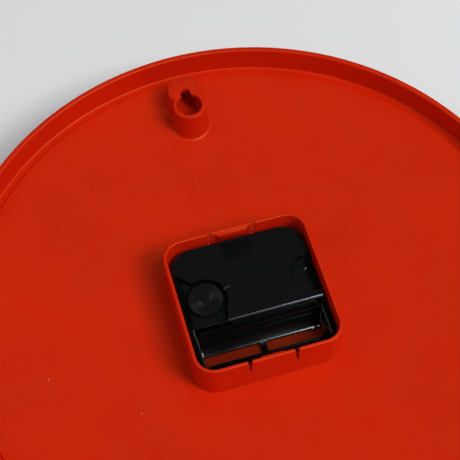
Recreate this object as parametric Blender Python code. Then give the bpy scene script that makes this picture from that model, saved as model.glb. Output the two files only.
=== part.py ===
"""Round wall clock with a snap-in quartz movement, modelled as its separate pieces.

The clock stands upright as it hangs: +Z points to 12 o'clock, -Y to the viewer and +Y to the wall.
The origin lies on the hands' axis, halfway between the bezel's front and the case's rear edge.
Lengths below are in millimetres and become metres through MM when a mesh is made.
"""

import math

import bmesh
import bpy
from mathutils import Vector

MM = 0.001
GAP = 0.3
SHARP_ANGLE = math.radians(32)

# Case, bezel, lens and dial: radii from the hands' axis and depths along Y
BACK_Y = 20.24
FRONT_Y = -20.24
RIM_OUTER_R = 122.9
RIM_INNER_R = 120.4
WALL_FOOT_R = 120.28
PLATE_EDGE_R = 116.36
PLATE_RISE = 9.24
PLATE_THICK = 2.0
GUTTER_DEPTH = 0.94
PLATE_FLAT_R = 46.0
RIB_INNER_R = 112.0
RIB_OUTER_R = 113.4
FRONT_WALL_R = 118.3
SPIGOT_R = 120.8
SPIGOT_FRONT_Y = -14.3
SEAM_Y = -4.0
CASE_FRONT_R = 124.3
BEZEL_R = 125.0
BEZEL_LIP_R = 113.2
LENS_R = 119.8
LENS_THICK = 1.5
LENS_BACK_Y = -14.7
DIAL_R = 117.6
DIAL_THICK = 1.0
CENTRE_HOLE_R = 4.7
RING_SEGMENTS = 72
LENS_SEGMENTS = 48

# Well around the movement
WELL_HALF = 30.8
WELL_DRAFT = 0.3
WELL_WALL = 1.5
WELL_CORNER_R = 8.7
WELL_TOP_Y = 19.95
TOP_SLOT_X = 9.3
TOP_SLOT_WIDTH = 1.9
TOP_SLOT_DEPTH = 9.0
BOTTOM_SLOT_X = 9.6
BOTTOM_SLOT_WIDTH = 1.0
BOTTOM_SLOT_DEPTH = 8.0
SLOT_FLARE = 1.3
SLOT_FLARE_DEPTH = 1.6
HOOK_NOSE_Y = 18.9
TOP_HOOK = {"base_half": 7.6, "nose_half": 4.6, "reach": 1.7}
BOTTOM_HOOK = {"base_half": 6.2, "nose_half": 3.6, "reach": 1.5}

# Keyhole hanger boss
HOLE_Z = 95.0
HOLE_R = 5.55
SLOT_HALF = 2.3
SLOT_TOP_Z = 103.9
LOWER_LOBE_R = 7.2
UPPER_LOBE_Z = 103.6
UPPER_LOBE_R = 7.4
BOSS_WALL = 1.5
BOSS_DRAFT = 0.7
LIP_THICK = 2.2
POCKET_FLOOR_Y = 9.2
ROUND_OVER = 0.4
OVERRUN = 1.0

# Movement housing
BODY_HALF = 28.0
BODY_WALL = 1.2
BODY_TOP_CORNER_R = 9.0
BODY_LOW_CORNER_R = 5.0
BODY_FRONT_Y = 0.3
FLOOR_Y = 1.6
WALL_TOP_Y = 13.0
COVER_FRONT_Y = 13.3
COVER_BACK_Y = 14.8
COVER_LOW_Z = -8.2
CHAMFER = 0.4
CHAMBER_LOW_Z = -7.9
BAY_TOP_Z = -9.5
BAY_LOW_Z = -25.0
CELL_Z = -17.3
CELL_Y = 9.3
CRADLE_R = 7.6
BAY_LIP_Y = 10.0
WINDOW_TOP_Z = -15.0
WINDOW_LOW_Z = -19.7
WINDOW_X = (1.2, 25.0)
BUSHING_R = 4.0
BUSHING_BORE_R = 3.15
BUSHING_FRONT_Y = -5.6

# Setting knob and the recesses of the cover
KNOB_X = 18.5
KNOB_Z = 3.9
KNOB_R = 7.2
KNOB_FLUTES = 36
FLUTE_DEPTH = 0.45
KNOB_Y = (12.4, 14.6)
KNOB_SHAFT_R = 1.4
RECESS_R = 9.2
RECESS_FLOOR_Y = (11.0, 12.0)
RECESS_LEFT_X = 12.4
RECESS_TOP_Z = 16.7
TUB_WALL = 1.0
SIDE_RECESS_X = -26.3
SIDE_RECESS_Z = 3.6
SIDE_RECESS_R = 8.6
SIDE_BOSS_R = 3.3
SIDE_FLOOR_Y = (11.6, 12.6)
LABEL = (-6.1, 6.1, 17.6, 26.6)
ARROW = ((9.0, 5.2), (5.9, 8.0), (8.4, 8.9), (10.2, 6.4))
COLUMNS = ((14.0, -5.4), (-17.0, -5.0), (9.0, 14.5))
COLUMN_R = (1.5, 0.7)

# Wheels: teeth, module and depth of each, with their axes on the X-Z plane
ADDENDUM = 0.8
DEDENDUM = 1.1
TIP_SHARE = 0.11
ROOT_SHARE = 0.24
TRAIN_DISTANCE = 8.64
MOTION_DISTANCE = 9.0
ARBOR_R = 0.4
PIVOT_HOLE_R = 0.7
PIVOT_FRONT_Y = 0.9
PLATE_Y = (9.3, 10.2)
PIVOT_BACK_Y = 10.0
FIFTH_PINION_Y = (6.9, 8.2)
FIFTH_WHEEL_Y = (8.2, 8.9)
ROTOR_PINION_Y = (8.15, 9.0)
SECOND_PINION_Y = (5.6, 7.0)
SECOND_WHEEL_Y = (7.0, 7.8)
THIRD_PINION_Y = (4.2, 5.7)
THIRD_WHEEL_Y = (5.7, 6.5)
CENTRE_WHEEL_Y = (4.35, 5.15)
CANNON_PINION_Y = (3.0, 4.0)
REVERSE_PINION_Y = (1.9, 3.1)
REVERSE_WHEEL_Y = (3.1, 3.9)
HOUR_WHEEL_Y = (1.9, 2.7)
SETTING_PINION_Y = (2.9, 4.1)

ROTOR_TEETH = 6
FIFTH_TEETH = 36
FIFTH_PINION = 8
SECOND_TEETH = 40
SECOND_PINION = 8
THIRD_TEETH = 60
THIRD_PINION = 8
CENTRE_TEETH = 64
CANNON_TEETH = 12
REVERSE_TEETH = 36
REVERSE_PINION = 10
HOUR_TEETH = 40
SETTING_TEETH = 20

ROTOR_MODULE = 0.3
ROTOR_DISTANCE = ROTOR_MODULE * (ROTOR_TEETH + FIFTH_TEETH) / 2
FIFTH_MODULE = 2 * TRAIN_DISTANCE / (FIFTH_PINION + SECOND_TEETH)
THIRD_MODULE = 2 * TRAIN_DISTANCE / (SECOND_PINION + THIRD_TEETH)
CENTRE_MODULE = 2 * TRAIN_DISTANCE / (THIRD_PINION + CENTRE_TEETH)
CANNON_MODULE = 2 * MOTION_DISTANCE / (CANNON_TEETH + REVERSE_TEETH)
HOUR_MODULE = 2 * MOTION_DISTANCE / (REVERSE_PINION + HOUR_TEETH)

CENTRE = Vector((0.0, 0.0))
THIRD_DIRECTION = 100
FIFTH_DIRECTION = 165
ROTOR_DIRECTION = 135
KNOB_AXIS = Vector((KNOB_X, KNOB_Z))

# Hands: pipes and arbor that carry them, and their fronts
HOUR_PIPE_R = (2.15, 2.8)
HOUR_PIPE_FRONT_Y = -8.1
CANNON_R = (0.95, 1.75)
CANNON_FRONT_Y = -10.6
CANNON_SEAT_R = 1.6
CANNON_SEAT_Y = 5.3
CENTRE_BORE_R = 1.95
SECOND_ARBOR_R = 0.6
SECOND_ARBOR_FRONT_Y = -13.0
HOUR_HAND_LENGTH = 58.0
MINUTE_HAND_LENGTH = 86.0
SECOND_HAND_LENGTH = 92.0
SECOND_TAIL_LENGTH = 24.0
HOUR_HAND_ANGLE = 305.0
MINUTE_HAND_ANGLE = 60.0
SECOND_HAND_ANGLE = 210.0

# Motor and circuit
MAGNET_R = 2.2
MAGNET_Y = (6.1, 7.9)
STATOR_Y = (6.8, 7.4)
STATOR_LOBE_R = 4.0
STATOR_HOLE_R = 2.7
STATOR_X = (-24.5, 3.5)
STATOR_WEB = 3.0
CORE_Z = (20.0, 23.0)
BOBBIN_X = (-21.2, 0.2)
BOBBIN_FLANGE = 1.2
BOARD_X = 25.7
BOARD_CUT = 4.7
BOARD_Y = (10.0, 10.8)
BOARD_Z = (18.0, 26.0)
CHIP = (9.0, 22.0)
CHIP_R = 2.8
CRYSTAL_R = 1.5
CRYSTAL_X = (12.0, 18.2)

# Battery contacts
STRIP_X = (26.1, 26.5)
STRIP_FINGER_Y = (8.5, 9.7)
DIMPLE_R = 2.4
LEAF_CENTRE = (-30.5, CELL_Z)
LEAF_R = (6.3, 6.7)
LEAF_ANGLE = 51
LEAF_Y = (6.4, 11.6)

RED = (0.55, 0.028, 0.008)
BLACK = (0.012, 0.013, 0.014)
WHITE = (0.8, 0.8, 0.78)
STEEL = (0.55, 0.55, 0.56)
BRASS = (0.6, 0.42, 0.16)
NATURAL = (0.72, 0.7, 0.62)
GREEN = (0.02, 0.16, 0.06)
COPPER = (0.5, 0.2, 0.08)
GREY = (0.08, 0.08, 0.09)


def heading(degrees):
    angle = math.radians(degrees)
    return Vector((math.cos(angle), math.sin(angle)))


def motion_axis():
    """Axis of the reverse wheel, which meshes with the cannon pinion and the setting pinion."""
    setting_distance = CANNON_MODULE * (REVERSE_TEETH + SETTING_TEETH) / 2
    span = KNOB_AXIS.length
    along = (MOTION_DISTANCE ** 2 - setting_distance ** 2 + span ** 2) / (2 * span)
    across = math.sqrt(MOTION_DISTANCE ** 2 - along ** 2)
    direction = KNOB_AXIS / span
    return along * direction + across * Vector((-direction.y, direction.x))


THIRD_AXIS = TRAIN_DISTANCE * heading(THIRD_DIRECTION)
FIFTH_AXIS = TRAIN_DISTANCE * heading(FIFTH_DIRECTION)
ROTOR_AXIS = FIFTH_AXIS + ROTOR_DISTANCE * heading(ROTOR_DIRECTION)
REVERSE_AXIS = motion_axis()


def clear_scene():
    for item in list(bpy.data.objects):
        bpy.data.objects.remove(item, do_unlink=True)


def make_material(name, colour, roughness, metallic=0.0, alpha=1.0):
    material = bpy.data.materials.new(name)
    material.use_nodes = True
    shader = material.node_tree.nodes["Principled BSDF"]
    shader.inputs["Base Color"].default_value = (*colour, 1.0)
    shader.inputs["Roughness"].default_value = roughness
    shader.inputs["Metallic"].default_value = metallic
    shader.inputs["Alpha"].default_value = alpha
    return material


def finish(name, bm, material, location=(0.0, 0.0, 0.0)):
    """Turn a bmesh in millimetres into an object in metres with smooth round sides."""
    bmesh.ops.remove_doubles(bm, verts=bm.verts, dist=0.002)
    bmesh.ops.recalc_face_normals(bm, faces=bm.faces)
    bmesh.ops.scale(bm, vec=(MM, MM, MM), verts=bm.verts)
    mesh = bpy.data.meshes.new(name)
    bm.to_mesh(mesh)
    bm.free()
    mesh.shade_smooth()
    mesh.set_sharp_from_angle(angle=SHARP_ANGLE)
    item = bpy.data.objects.new(name, mesh)
    item.location = Vector(location) * MM
    bpy.context.collection.objects.link(item)
    if material:
        mesh.materials.append(material)
    return item


def boolean(item, tool, operation):
    """Join or cut an object with another one, which is used up."""
    modifier = item.modifiers.new(tool.name, "BOOLEAN")
    modifier.operation = operation
    modifier.solver = "EXACT"
    modifier.object = tool
    graph = bpy.context.evaluated_depsgraph_get()
    result = bpy.data.meshes.new_from_object(item.evaluated_get(graph))
    item.modifiers.clear()
    result.name = item.data.name
    item.data = result
    bpy.data.objects.remove(tool, do_unlink=True)
    item.data.set_sharp_from_angle(angle=SHARP_ANGLE)


# Outlines: lists of (x, z) points, counter-clockwise

def circle(radius, count, centre=CENTRE):
    step = 2 * math.pi / count
    return [(centre[0] + radius * math.cos(k * step), centre[1] + radius * math.sin(k * step))
            for k in range(count)]


def arc(centre, radius, start, end, count):
    """Points of an arc between two angles in degrees, both ends included."""
    angles = [math.radians(start + (end - start) * k / count) for k in range(count + 1)]
    return [(centre[0] + radius * math.cos(a), centre[1] + radius * math.sin(a)) for a in angles]


def box(x0, x1, z0, z1):
    return [(x0, z0), (x1, z0), (x1, z1), (x0, z1)]


def rounded_box(x0, x1, z0, z1, low_r, top_r, count=6):
    points = arc((x0 + low_r, z0 + low_r), low_r, 180, 270, count)
    points += arc((x1 - low_r, z0 + low_r), low_r, 270, 360, count)
    points += arc((x1 - top_r, z1 - top_r), top_r, 0, 90, count)
    points += arc((x0 + top_r, z1 - top_r), top_r, 90, 180, count)
    return points


def keyhole_lobes(lower_r, upper_r, count=12):
    """Figure-of-eight outline of the hanger boss around its two centres."""
    distance = UPPER_LOBE_Z - HOLE_Z
    offset = (distance ** 2 + lower_r ** 2 - upper_r ** 2) / (2 * distance)
    low_angle = math.degrees(math.acos(offset / lower_r))
    high_angle = math.degrees(math.acos((distance - offset) / upper_r))
    lower = arc((0, HOLE_Z), lower_r, 90 + low_angle, 450 - low_angle, 2 * count)
    upper = arc((0, UPPER_LOBE_Z), upper_r, high_angle - 90, 270 - high_angle, 2 * count)
    return lower + upper[1:-1]


def gear(teeth, module, phase=0.0):
    """Trapezoid teeth with backlash, the first one centred on the phase angle."""
    pitch_r = teeth * module / 2
    pitch = 2 * math.pi / teeth
    corners = ((-ROOT_SHARE, -DEDENDUM), (-TIP_SHARE, ADDENDUM),
               (TIP_SHARE, ADDENDUM), (ROOT_SHARE, -DEDENDUM))
    points = []
    for tooth in range(teeth):
        for share, height in corners:
            angle = phase + (tooth + share) * pitch
            radius = pitch_r + height * module
            points.append((radius * math.cos(angle), radius * math.sin(angle)))
    return points


def mate_phase(teeth, phase, mate_teeth, axis, mate_axis):
    """Phase that puts a gap of the mating gear where this gear has a tooth on the line of centres."""
    direction = math.atan2(mate_axis[1] - axis[1], mate_axis[0] - axis[0])
    position = ((direction - phase) * teeth / (2 * math.pi)) % 1.0
    mate_position = (0.5 - position) % 1.0
    return direction + math.pi - mate_position * 2 * math.pi / mate_teeth


# Solids

def add_loop(bm, points, y):
    verts = [bm.verts.new((x, y, z)) for x, z in points]
    edges = [bm.edges.new((verts[k], verts[(k + 1) % len(verts)])) for k in range(len(verts))]
    return verts, edges


def bridge(bm, first, second):
    count = len(first)
    for k in range(count):
        after = (k + 1) % count
        bm.faces.new((first[k], first[after], second[after], second[k]))


def fill(bm, edges):
    bmesh.ops.triangle_fill(bm, use_beauty=True, edges=edges)


def stack(name, layers, material, bore=None, location=(0.0, 0.0, 0.0)):
    """Stepped solid along Y. Each layer is (outline, y0, y1) and meets the next one at its y1.

    Neighbouring outlines are nested, so the step between them is the ring between the two loops.
    A layer's outline may be a pair of equal-length outlines, which makes a taper.
    """
    bm = bmesh.new()
    loops = []
    for outline, y0, y1 in layers:
        front, back = outline if isinstance(outline, tuple) else (outline, outline)
        first, first_edges = add_loop(bm, front, y0)
        second, second_edges = add_loop(bm, back, y1)
        bridge(bm, first, second)
        loops.append((first_edges, second_edges))
    for current, following in zip(loops, loops[1:]):
        fill(bm, current[1] + following[0])
    front_edges, back_edges = loops[0][0], loops[-1][1]
    if bore:
        first, first_edges = add_loop(bm, bore, layers[0][1])
        second, second_edges = add_loop(bm, bore, layers[-1][2])
        bridge(bm, first, second)
        front_edges = front_edges + first_edges
        back_edges = back_edges + second_edges
    fill(bm, front_edges)
    fill(bm, back_edges)
    return finish(name, bm, material, location)


def prism(name, outline, y0, y1, material=None, holes=()):
    """Flat plate between two depths, with any number of through holes."""
    bm = bmesh.new()
    edges = []
    for points in (outline, *holes):
        edges += add_loop(bm, points, y0)[1]
    fill(bm, edges)
    extruded = bmesh.ops.extrude_face_region(bm, geom=bm.faces[:])
    moved = [item for item in extruded["geom"] if isinstance(item, bmesh.types.BMVert)]
    bmesh.ops.translate(bm, verts=moved, vec=(0, y1 - y0, 0))
    return finish(name, bm, material)


def sideways_prism(name, outline, x0, x1, material=None):
    """Prism along X from an outline of (z, y) points."""
    bm = bmesh.new()
    verts = [bm.verts.new((x0, y, z)) for z, y in outline]
    face = bm.faces.new(verts)
    extruded = bmesh.ops.extrude_face_region(bm, geom=[face])
    moved = [item for item in extruded["geom"] if isinstance(item, bmesh.types.BMVert)]
    bmesh.ops.translate(bm, verts=moved, vec=(x1 - x0, 0, 0))
    return finish(name, bm, material)


def turned(name, profile, material, segments=RING_SEGMENTS):
    """Ring or disc spun about the Y axis from a closed profile of (radius, y) points."""
    bm = bmesh.new()
    verts = [bm.verts.new((radius, y, 0)) for radius, y in profile]
    edges = [bm.edges.new(pair) for pair in zip(verts, verts[1:])]
    if profile[0][0] > 0:
        edges.append(bm.edges.new((verts[-1], verts[0])))
    bmesh.ops.spin(bm, geom=verts + edges, cent=(0, 0, 0), axis=(0, 1, 0), angle=2 * math.pi,
                   steps=segments, use_merge=True, use_duplicate=False)
    return finish(name, bm, material)


# Case, bezel, lens and dial

def plate_y(radius):
    """Depth of the gently dished plate's rear face."""
    return PLATE_RISE * (radius / PLATE_EDGE_R) ** 2


def case_profile():
    gutter_y = PLATE_RISE - GUTTER_DEPTH
    front = [(CENTRE_HOLE_R, -PLATE_THICK), (PLATE_FLAT_R, -PLATE_THICK)]
    front += [(r, plate_y(r) - PLATE_THICK) for r in (56.0, 86.0, RIB_INNER_R)]
    rib = [(RIB_INNER_R, -PLATE_THICK), (RIB_OUTER_R, -PLATE_THICK),
           (RIB_OUTER_R, plate_y(RIB_OUTER_R) - PLATE_THICK)]
    wall_front = [(115.6, gutter_y - PLATE_THICK), (FRONT_WALL_R, gutter_y - PLATE_THICK),
                  (FRONT_WALL_R, SPIGOT_FRONT_Y), (SPIGOT_R, SPIGOT_FRONT_Y),
                  (SPIGOT_R, SEAM_Y), (CASE_FRONT_R, SEAM_Y)]
    rim = [(RIM_OUTER_R, BACK_Y - 0.8), (RIM_OUTER_R - 0.7, BACK_Y),
           (RIM_INNER_R + 0.6, BACK_Y), (RIM_INNER_R, BACK_Y - 0.7)]
    foot = [(WALL_FOOT_R, gutter_y + 0.6), (WALL_FOOT_R - 0.6, gutter_y),
            (PLATE_EDGE_R + 0.6, gutter_y), (PLATE_EDGE_R, PLATE_RISE)]
    back = [(r, plate_y(r)) for r in (102.0, 86.0, 68.0, 48.0, 26.0)]
    return front + rib + wall_front + rim + foot + back + [(CENTRE_HOLE_R, 0.0)]


def well_outline(inset, extra):
    half = WELL_HALF + extra - inset
    radius = WELL_CORNER_R - inset
    return rounded_box(-half, half, -half, half, radius, radius)


def well_tube():
    """Rounded-square wall with a slight draft, its top edge rounded over."""
    outer = [(well_outline(0, WELL_DRAFT), -1.0), (well_outline(0, 0), WELL_TOP_Y - 0.5),
             (well_outline(0.4, 0), WELL_TOP_Y)]
    inner = [(well_outline(WELL_WALL - 0.35, 0), WELL_TOP_Y),
             (well_outline(WELL_WALL, 0), WELL_TOP_Y - 0.4), (well_outline(WELL_WALL, 0), -1.0)]
    bm = bmesh.new()
    loops = [add_loop(bm, outline, y)[0] for outline, y in outer + inner]
    for first, second in zip(loops, loops[1:] + loops[:1]):
        bridge(bm, first, second)
    return finish("well_tube", bm, None)


def hook(name, side, base_half, nose_half, reach, underside_y):
    """Wedge that leans in from a well wall, wide at the wall and narrow at the nose."""
    wall_z = side * (WELL_HALF - WELL_WALL + ROUND_OVER)
    nose_z = side * (WELL_HALF - WELL_WALL - reach)
    bm = bmesh.new()
    rings = []
    for low, high, half, z in ((underside_y, WELL_TOP_Y - 0.1, base_half, wall_z),
                               (underside_y, HOOK_NOSE_Y, nose_half, nose_z)):
        rings.append([bm.verts.new(point) for point in
                      ((-half, low, z), (half, low, z), (half, high, z), (-half, high, z))])
    bridge(bm, rings[0], rings[1])
    for ring in rings:
        bm.faces.new(ring)
    return finish(name, bm, None)


def flared_slot(name, centre_x):
    """Narrow slot through the lower well wall that widens at its mouth."""
    half = BOTTOM_SLOT_WIDTH / 2
    bottom = WELL_TOP_Y - BOTTOM_SLOT_DEPTH
    bm = bmesh.new()
    flare_y = WELL_TOP_Y - SLOT_FLARE_DEPTH
    profile = [(-half, bottom), (half, bottom), (half, flare_y), (SLOT_FLARE, BACK_Y),
               (-SLOT_FLARE, BACK_Y), (-half, flare_y)]
    verts = [bm.verts.new((centre_x + x, y, -WELL_HALF - OVERRUN)) for x, y in profile]
    extruded = bmesh.ops.extrude_face_region(bm, geom=[bm.faces.new(verts)])
    moved = [item for item in extruded["geom"] if isinstance(item, bmesh.types.BMVert)]
    bmesh.ops.translate(bm, verts=moved, vec=(0, 0, WELL_WALL + 2 * OVERRUN))
    return finish(name, bm, None)


def add_well(case):
    """Open the plate under the movement and stand the slotted wall with its two hooks around it."""
    floor_cut = prism("well_floor_cut", well_outline(WELL_WALL - 0.2, 0), 0.0, BACK_Y)
    boolean(case, floor_cut, "DIFFERENCE")
    boolean(case, well_tube(), "UNION")
    boolean(case, hook("top_hook", 1, **TOP_HOOK, underside_y=COVER_BACK_Y + GAP), "UNION")
    boolean(case, hook("bottom_hook", -1, **BOTTOM_HOOK, underside_y=BAY_LIP_Y + GAP), "UNION")
    inner_z = WELL_HALF - WELL_WALL - TOP_HOOK["reach"]
    for side in (-1, 1):
        x = side * TOP_SLOT_X
        outline = box(x - TOP_SLOT_WIDTH / 2, x + TOP_SLOT_WIDTH / 2, inner_z, WELL_HALF + OVERRUN)
        slot = prism("top_slot_cut", outline, WELL_TOP_Y - TOP_SLOT_DEPTH, BACK_Y)
        boolean(case, slot, "DIFFERENCE")
        boolean(case, flared_slot("bottom_slot_cut", side * BOTTOM_SLOT_X), "DIFFERENCE")


def add_hanger(case):
    """Boss with a keyhole: a round hole and a slot above it through the lip of a closed pocket."""
    base_y = plate_y(HOLE_Z - LOWER_LOBE_R) - PLATE_THICK / 2
    base = keyhole_lobes(LOWER_LOBE_R + BOSS_DRAFT, UPPER_LOBE_R + BOSS_DRAFT)
    top = keyhole_lobes(LOWER_LOBE_R, UPPER_LOBE_R)
    rounded = keyhole_lobes(LOWER_LOBE_R - ROUND_OVER, UPPER_LOBE_R - ROUND_OVER)
    boss = stack("hanger_boss", [((base, top), base_y, BACK_Y - ROUND_OVER),
                                 ((top, rounded), BACK_Y - ROUND_OVER, BACK_Y)], None)
    boolean(case, boss, "UNION")
    pocket = keyhole_lobes(HOLE_R, UPPER_LOBE_R - BOSS_WALL)
    boolean(case, prism("hanger_pocket_cut", pocket, POCKET_FLOOR_Y, BACK_Y - LIP_THICK), "DIFFERENCE")
    depths = (POCKET_FLOOR_Y + OVERRUN, BACK_Y + OVERRUN)
    boolean(case, prism("hanger_hole_cut", circle(HOLE_R, 28, (0, HOLE_Z)), *depths), "DIFFERENCE")
    slot_arc = arc((0, SLOT_TOP_Z - SLOT_HALF), SLOT_HALF, 0, 180, 8)
    slot = [(-SLOT_HALF, HOLE_Z), (SLOT_HALF, HOLE_Z)] + slot_arc
    boolean(case, prism("hanger_slot_cut", slot, *depths), "DIFFERENCE")


def make_case(material):
    case = turned("case", case_profile(), material)
    add_well(case)
    add_hanger(case)


def make_bezel(material):
    seam_y = SEAM_Y - GAP
    spigot_r = SPIGOT_R + GAP
    lens_r = LENS_R + 0.4
    profile = [(spigot_r, seam_y), (CASE_FRONT_R + 0.05, seam_y), (BEZEL_R, -8.5), (124.4, -14.0),
               (122.6, -18.2), (119.4, FRONT_Y), (116.4, FRONT_Y + 0.3), (BEZEL_LIP_R, -17.6),
               (BEZEL_LIP_R, -16.6), (lens_r, -16.6), (lens_r, SPIGOT_FRONT_Y - GAP),
               (spigot_r, SPIGOT_FRONT_Y - GAP)]
    turned("bezel", profile, material)


def make_lens(material):
    """Flat clear disc whose margin sits between the bezel's lip and the spigot."""
    prism("lens", circle(LENS_R, LENS_SEGMENTS), LENS_BACK_Y - LENS_THICK, LENS_BACK_Y, material)


def make_dial(material):
    back_y = -PLATE_THICK - GAP
    outline = circle(DIAL_R, RING_SEGMENTS)
    prism("dial", outline, back_y - DIAL_THICK, back_y, material, [circle(CENTRE_HOLE_R, 24)])


# Movement housing

def body_outline(inset=0.0, low_z=-BODY_HALF, low_r=BODY_LOW_CORNER_R):
    half = BODY_HALF - inset
    low_r = max(low_r - inset, 0.4)
    return rounded_box(-half, half, low_z + inset, half, low_r, BODY_TOP_CORNER_R - inset)


def cell_cut():
    """Cylinder that leaves the cell's cradle in the floor of the bay."""
    half = BODY_HALF - BODY_WALL
    return sideways_prism("cradle_cut", circle(CRADLE_R, 40, (CELL_Z, CELL_Y)), -half, half)


def cut_bay(base):
    """Battery bay: concave cradle with two windows, open to the back and over its lower lip."""
    inner = BODY_HALF - BODY_WALL
    boolean(base, cell_cut(), "DIFFERENCE")
    mouth = box(-inner, inner, BAY_LOW_Z, BAY_TOP_Z)
    boolean(base, prism("bay_mouth_cut", mouth, CELL_Y, BACK_Y), "DIFFERENCE")
    lip = box(-inner + 2.0, inner - 2.0, -BODY_HALF - OVERRUN, BAY_LOW_Z + OVERRUN)
    boolean(base, prism("bay_lip_cut", lip, BAY_LIP_Y, BACK_Y), "DIFFERENCE")
    through_wall = (BAY_TOP_Z - OVERRUN, CHAMBER_LOW_Z + OVERRUN)
    for side in (-1, 1):
        x_ends = sorted(side * x for x in WINDOW_X)
        window = prism("window_cut", box(*x_ends, WINDOW_LOW_Z, WINDOW_TOP_Z), BODY_FRONT_Y - OVERRUN,
                       FLOOR_Y + 2 * OVERRUN)
        boolean(base, window, "DIFFERENCE")
        x_ends = sorted((side * (STRIP_X[0] - 0.5), side * inner))
        strip_slot = prism("strip_slot_cut", box(*x_ends, *through_wall), STRIP_FINGER_Y[0] - GAP, BACK_Y)
        boolean(base, strip_slot, "DIFFERENCE")
    notch = prism("recess_notch_cut", box(RECESS_LEFT_X - TUB_WALL - GAP, inner, *through_wall),
                  RECESS_FLOOR_Y[0] - GAP, BACK_Y)
    boolean(base, notch, "DIFFERENCE")


def make_base(material):
    base = prism("movement_base", body_outline(), BODY_FRONT_Y, WALL_TOP_Y, material)
    inner = BODY_HALF - BODY_WALL
    chamber = rounded_box(-inner, inner, CHAMBER_LOW_Z, inner, 1.0, BODY_TOP_CORNER_R - BODY_WALL)
    boolean(base, prism("chamber_cut", chamber, FLOOR_Y, BACK_Y), "DIFFERENCE")
    cut_bay(base)
    bushing = prism("bushing", circle(BUSHING_R, 24), BUSHING_FRONT_Y, (BODY_FRONT_Y + FLOOR_Y) / 2)
    boolean(base, bushing, "UNION")
    for centre in COLUMNS:
        foot, tip = (circle(radius, 16, centre) for radius in COLUMN_R)
        shoulder_y = PLATE_Y[0] - GAP
        column = stack("column", [(foot, FLOOR_Y - 0.5, shoulder_y), (tip, shoulder_y, PLATE_Y[1])], None)
        boolean(base, column, "UNION")
    bore = prism("bushing_bore_cut", circle(BUSHING_BORE_R, 24), BUSHING_FRONT_Y - OVERRUN, FLOOR_Y + OVERRUN)
    boolean(base, bore, "DIFFERENCE")
    pivots = [(axis, PIVOT_HOLE_R) for axis in (THIRD_AXIS, FIFTH_AXIS, ROTOR_AXIS, REVERSE_AXIS)]
    for axis, radius in pivots + [(KNOB_AXIS, KNOB_SHAFT_R + GAP)]:
        pivot = prism("pivot_cut", circle(radius, 16, axis), PIVOT_FRONT_Y - GAP, FLOOR_Y + OVERRUN)
        boolean(base, pivot, "DIFFERENCE")


def knob_recess(margin):
    """Region around the knob that lies below the cover, grown by a margin for the wall around it."""
    half = BODY_HALF - BODY_WALL - GAP
    return ([(RECESS_LEFT_X - margin, COVER_LOW_Z), (half, COVER_LOW_Z), (half, RECESS_TOP_Z + margin)]
            + arc(KNOB_AXIS, RECESS_R + margin, 68, 210, 14))


def knob_opening():
    """The same region run past the cover's lower edge and its side."""
    left, _, _, *rim = knob_recess(0.0)
    side_x = BODY_HALF + OVERRUN
    low_z = COVER_LOW_Z - OVERRUN
    return [(left[0], low_z), (side_x, low_z), (side_x, RECESS_TOP_Z + 0.6)] + rim


def side_recess(margin, overrun=0.0):
    """Round recess that the movement's side wall cuts off, open to the side with an overrun."""
    half = BODY_HALF - BODY_WALL - GAP + overrun
    radius = SIDE_RECESS_R + margin
    reach = math.degrees(math.acos((half + SIDE_RECESS_X) / radius))
    return arc((SIDE_RECESS_X, SIDE_RECESS_Z), radius, reach - 180, 180 - reach, 24)


def make_cover(material):
    full = body_outline(0.0, COVER_LOW_Z, 0.6)
    inset = body_outline(CHAMFER, COVER_LOW_Z, 0.6)
    cover = stack("movement_cover", [(full, COVER_FRONT_Y, COVER_BACK_Y - CHAMFER),
                                     ((full, inset), COVER_BACK_Y - CHAMFER, COVER_BACK_Y)], material)
    tub_back_y = (COVER_FRONT_Y + COVER_BACK_Y) / 2
    above = COVER_BACK_Y + OVERRUN
    boss_well = circle(SIDE_BOSS_R, 20, (SIDE_RECESS_X + 0.6, SIDE_RECESS_Z))
    shaft_hole = circle(KNOB_SHAFT_R + GAP, 20, KNOB_AXIS)
    boolean(cover, prism("recess_tub", knob_recess(TUB_WALL), RECESS_FLOOR_Y[0], tub_back_y), "UNION")
    boolean(cover, prism("side_tub", side_recess(TUB_WALL), SIDE_FLOOR_Y[0], tub_back_y), "UNION")
    boolean(cover, prism("recess_cut", knob_opening(), RECESS_FLOOR_Y[1], above), "DIFFERENCE")
    boolean(cover, prism("side_recess_cut", side_recess(0.0, 3.0), SIDE_FLOOR_Y[1], above), "DIFFERENCE")
    boolean(cover, prism("side_boss_cut", boss_well, SIDE_FLOOR_Y[0] + 0.4, above), "DIFFERENCE")
    boolean(cover, prism("shaft_hole_cut", shaft_hole, RECESS_FLOOR_Y[0] - OVERRUN, above), "DIFFERENCE")
    boolean(cover, prism("arrow_cut", ARROW, COVER_BACK_Y - 0.6, above), "DIFFERENCE")
    boolean(cover, prism("label_cut", box(*LABEL), COVER_BACK_Y - 0.25, above), "DIFFERENCE")


def make_train_plate(material):
    """Irregular plate that holds the wheels' rear pivots and rests on the three columns."""
    outline = [(-17.0, -7.0), (-13.0, -7.2), (13.5, -7.2), (16.0, -6.8), (16.0, -3.6), (10.0, 1.0),
               (10.6, 6.0), (11.0, 16.3), (7.4, 16.6), (-1.0, 12.0), (-12.4, 9.4), (-15.4, 6.8),
               (-19.0, -3.0), (-19.0, -6.5)]
    holes = [circle(PIVOT_HOLE_R, 14, axis) for axis in (THIRD_AXIS, FIFTH_AXIS, ROTOR_AXIS, REVERSE_AXIS)]
    holes.append(circle(SECOND_ARBOR_R + GAP, 14))
    holes += [circle(1.0, 14, centre) for centre in COLUMNS]
    prism("train_plate", outline, *PLATE_Y, material, holes)


# Battery contacts

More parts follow.
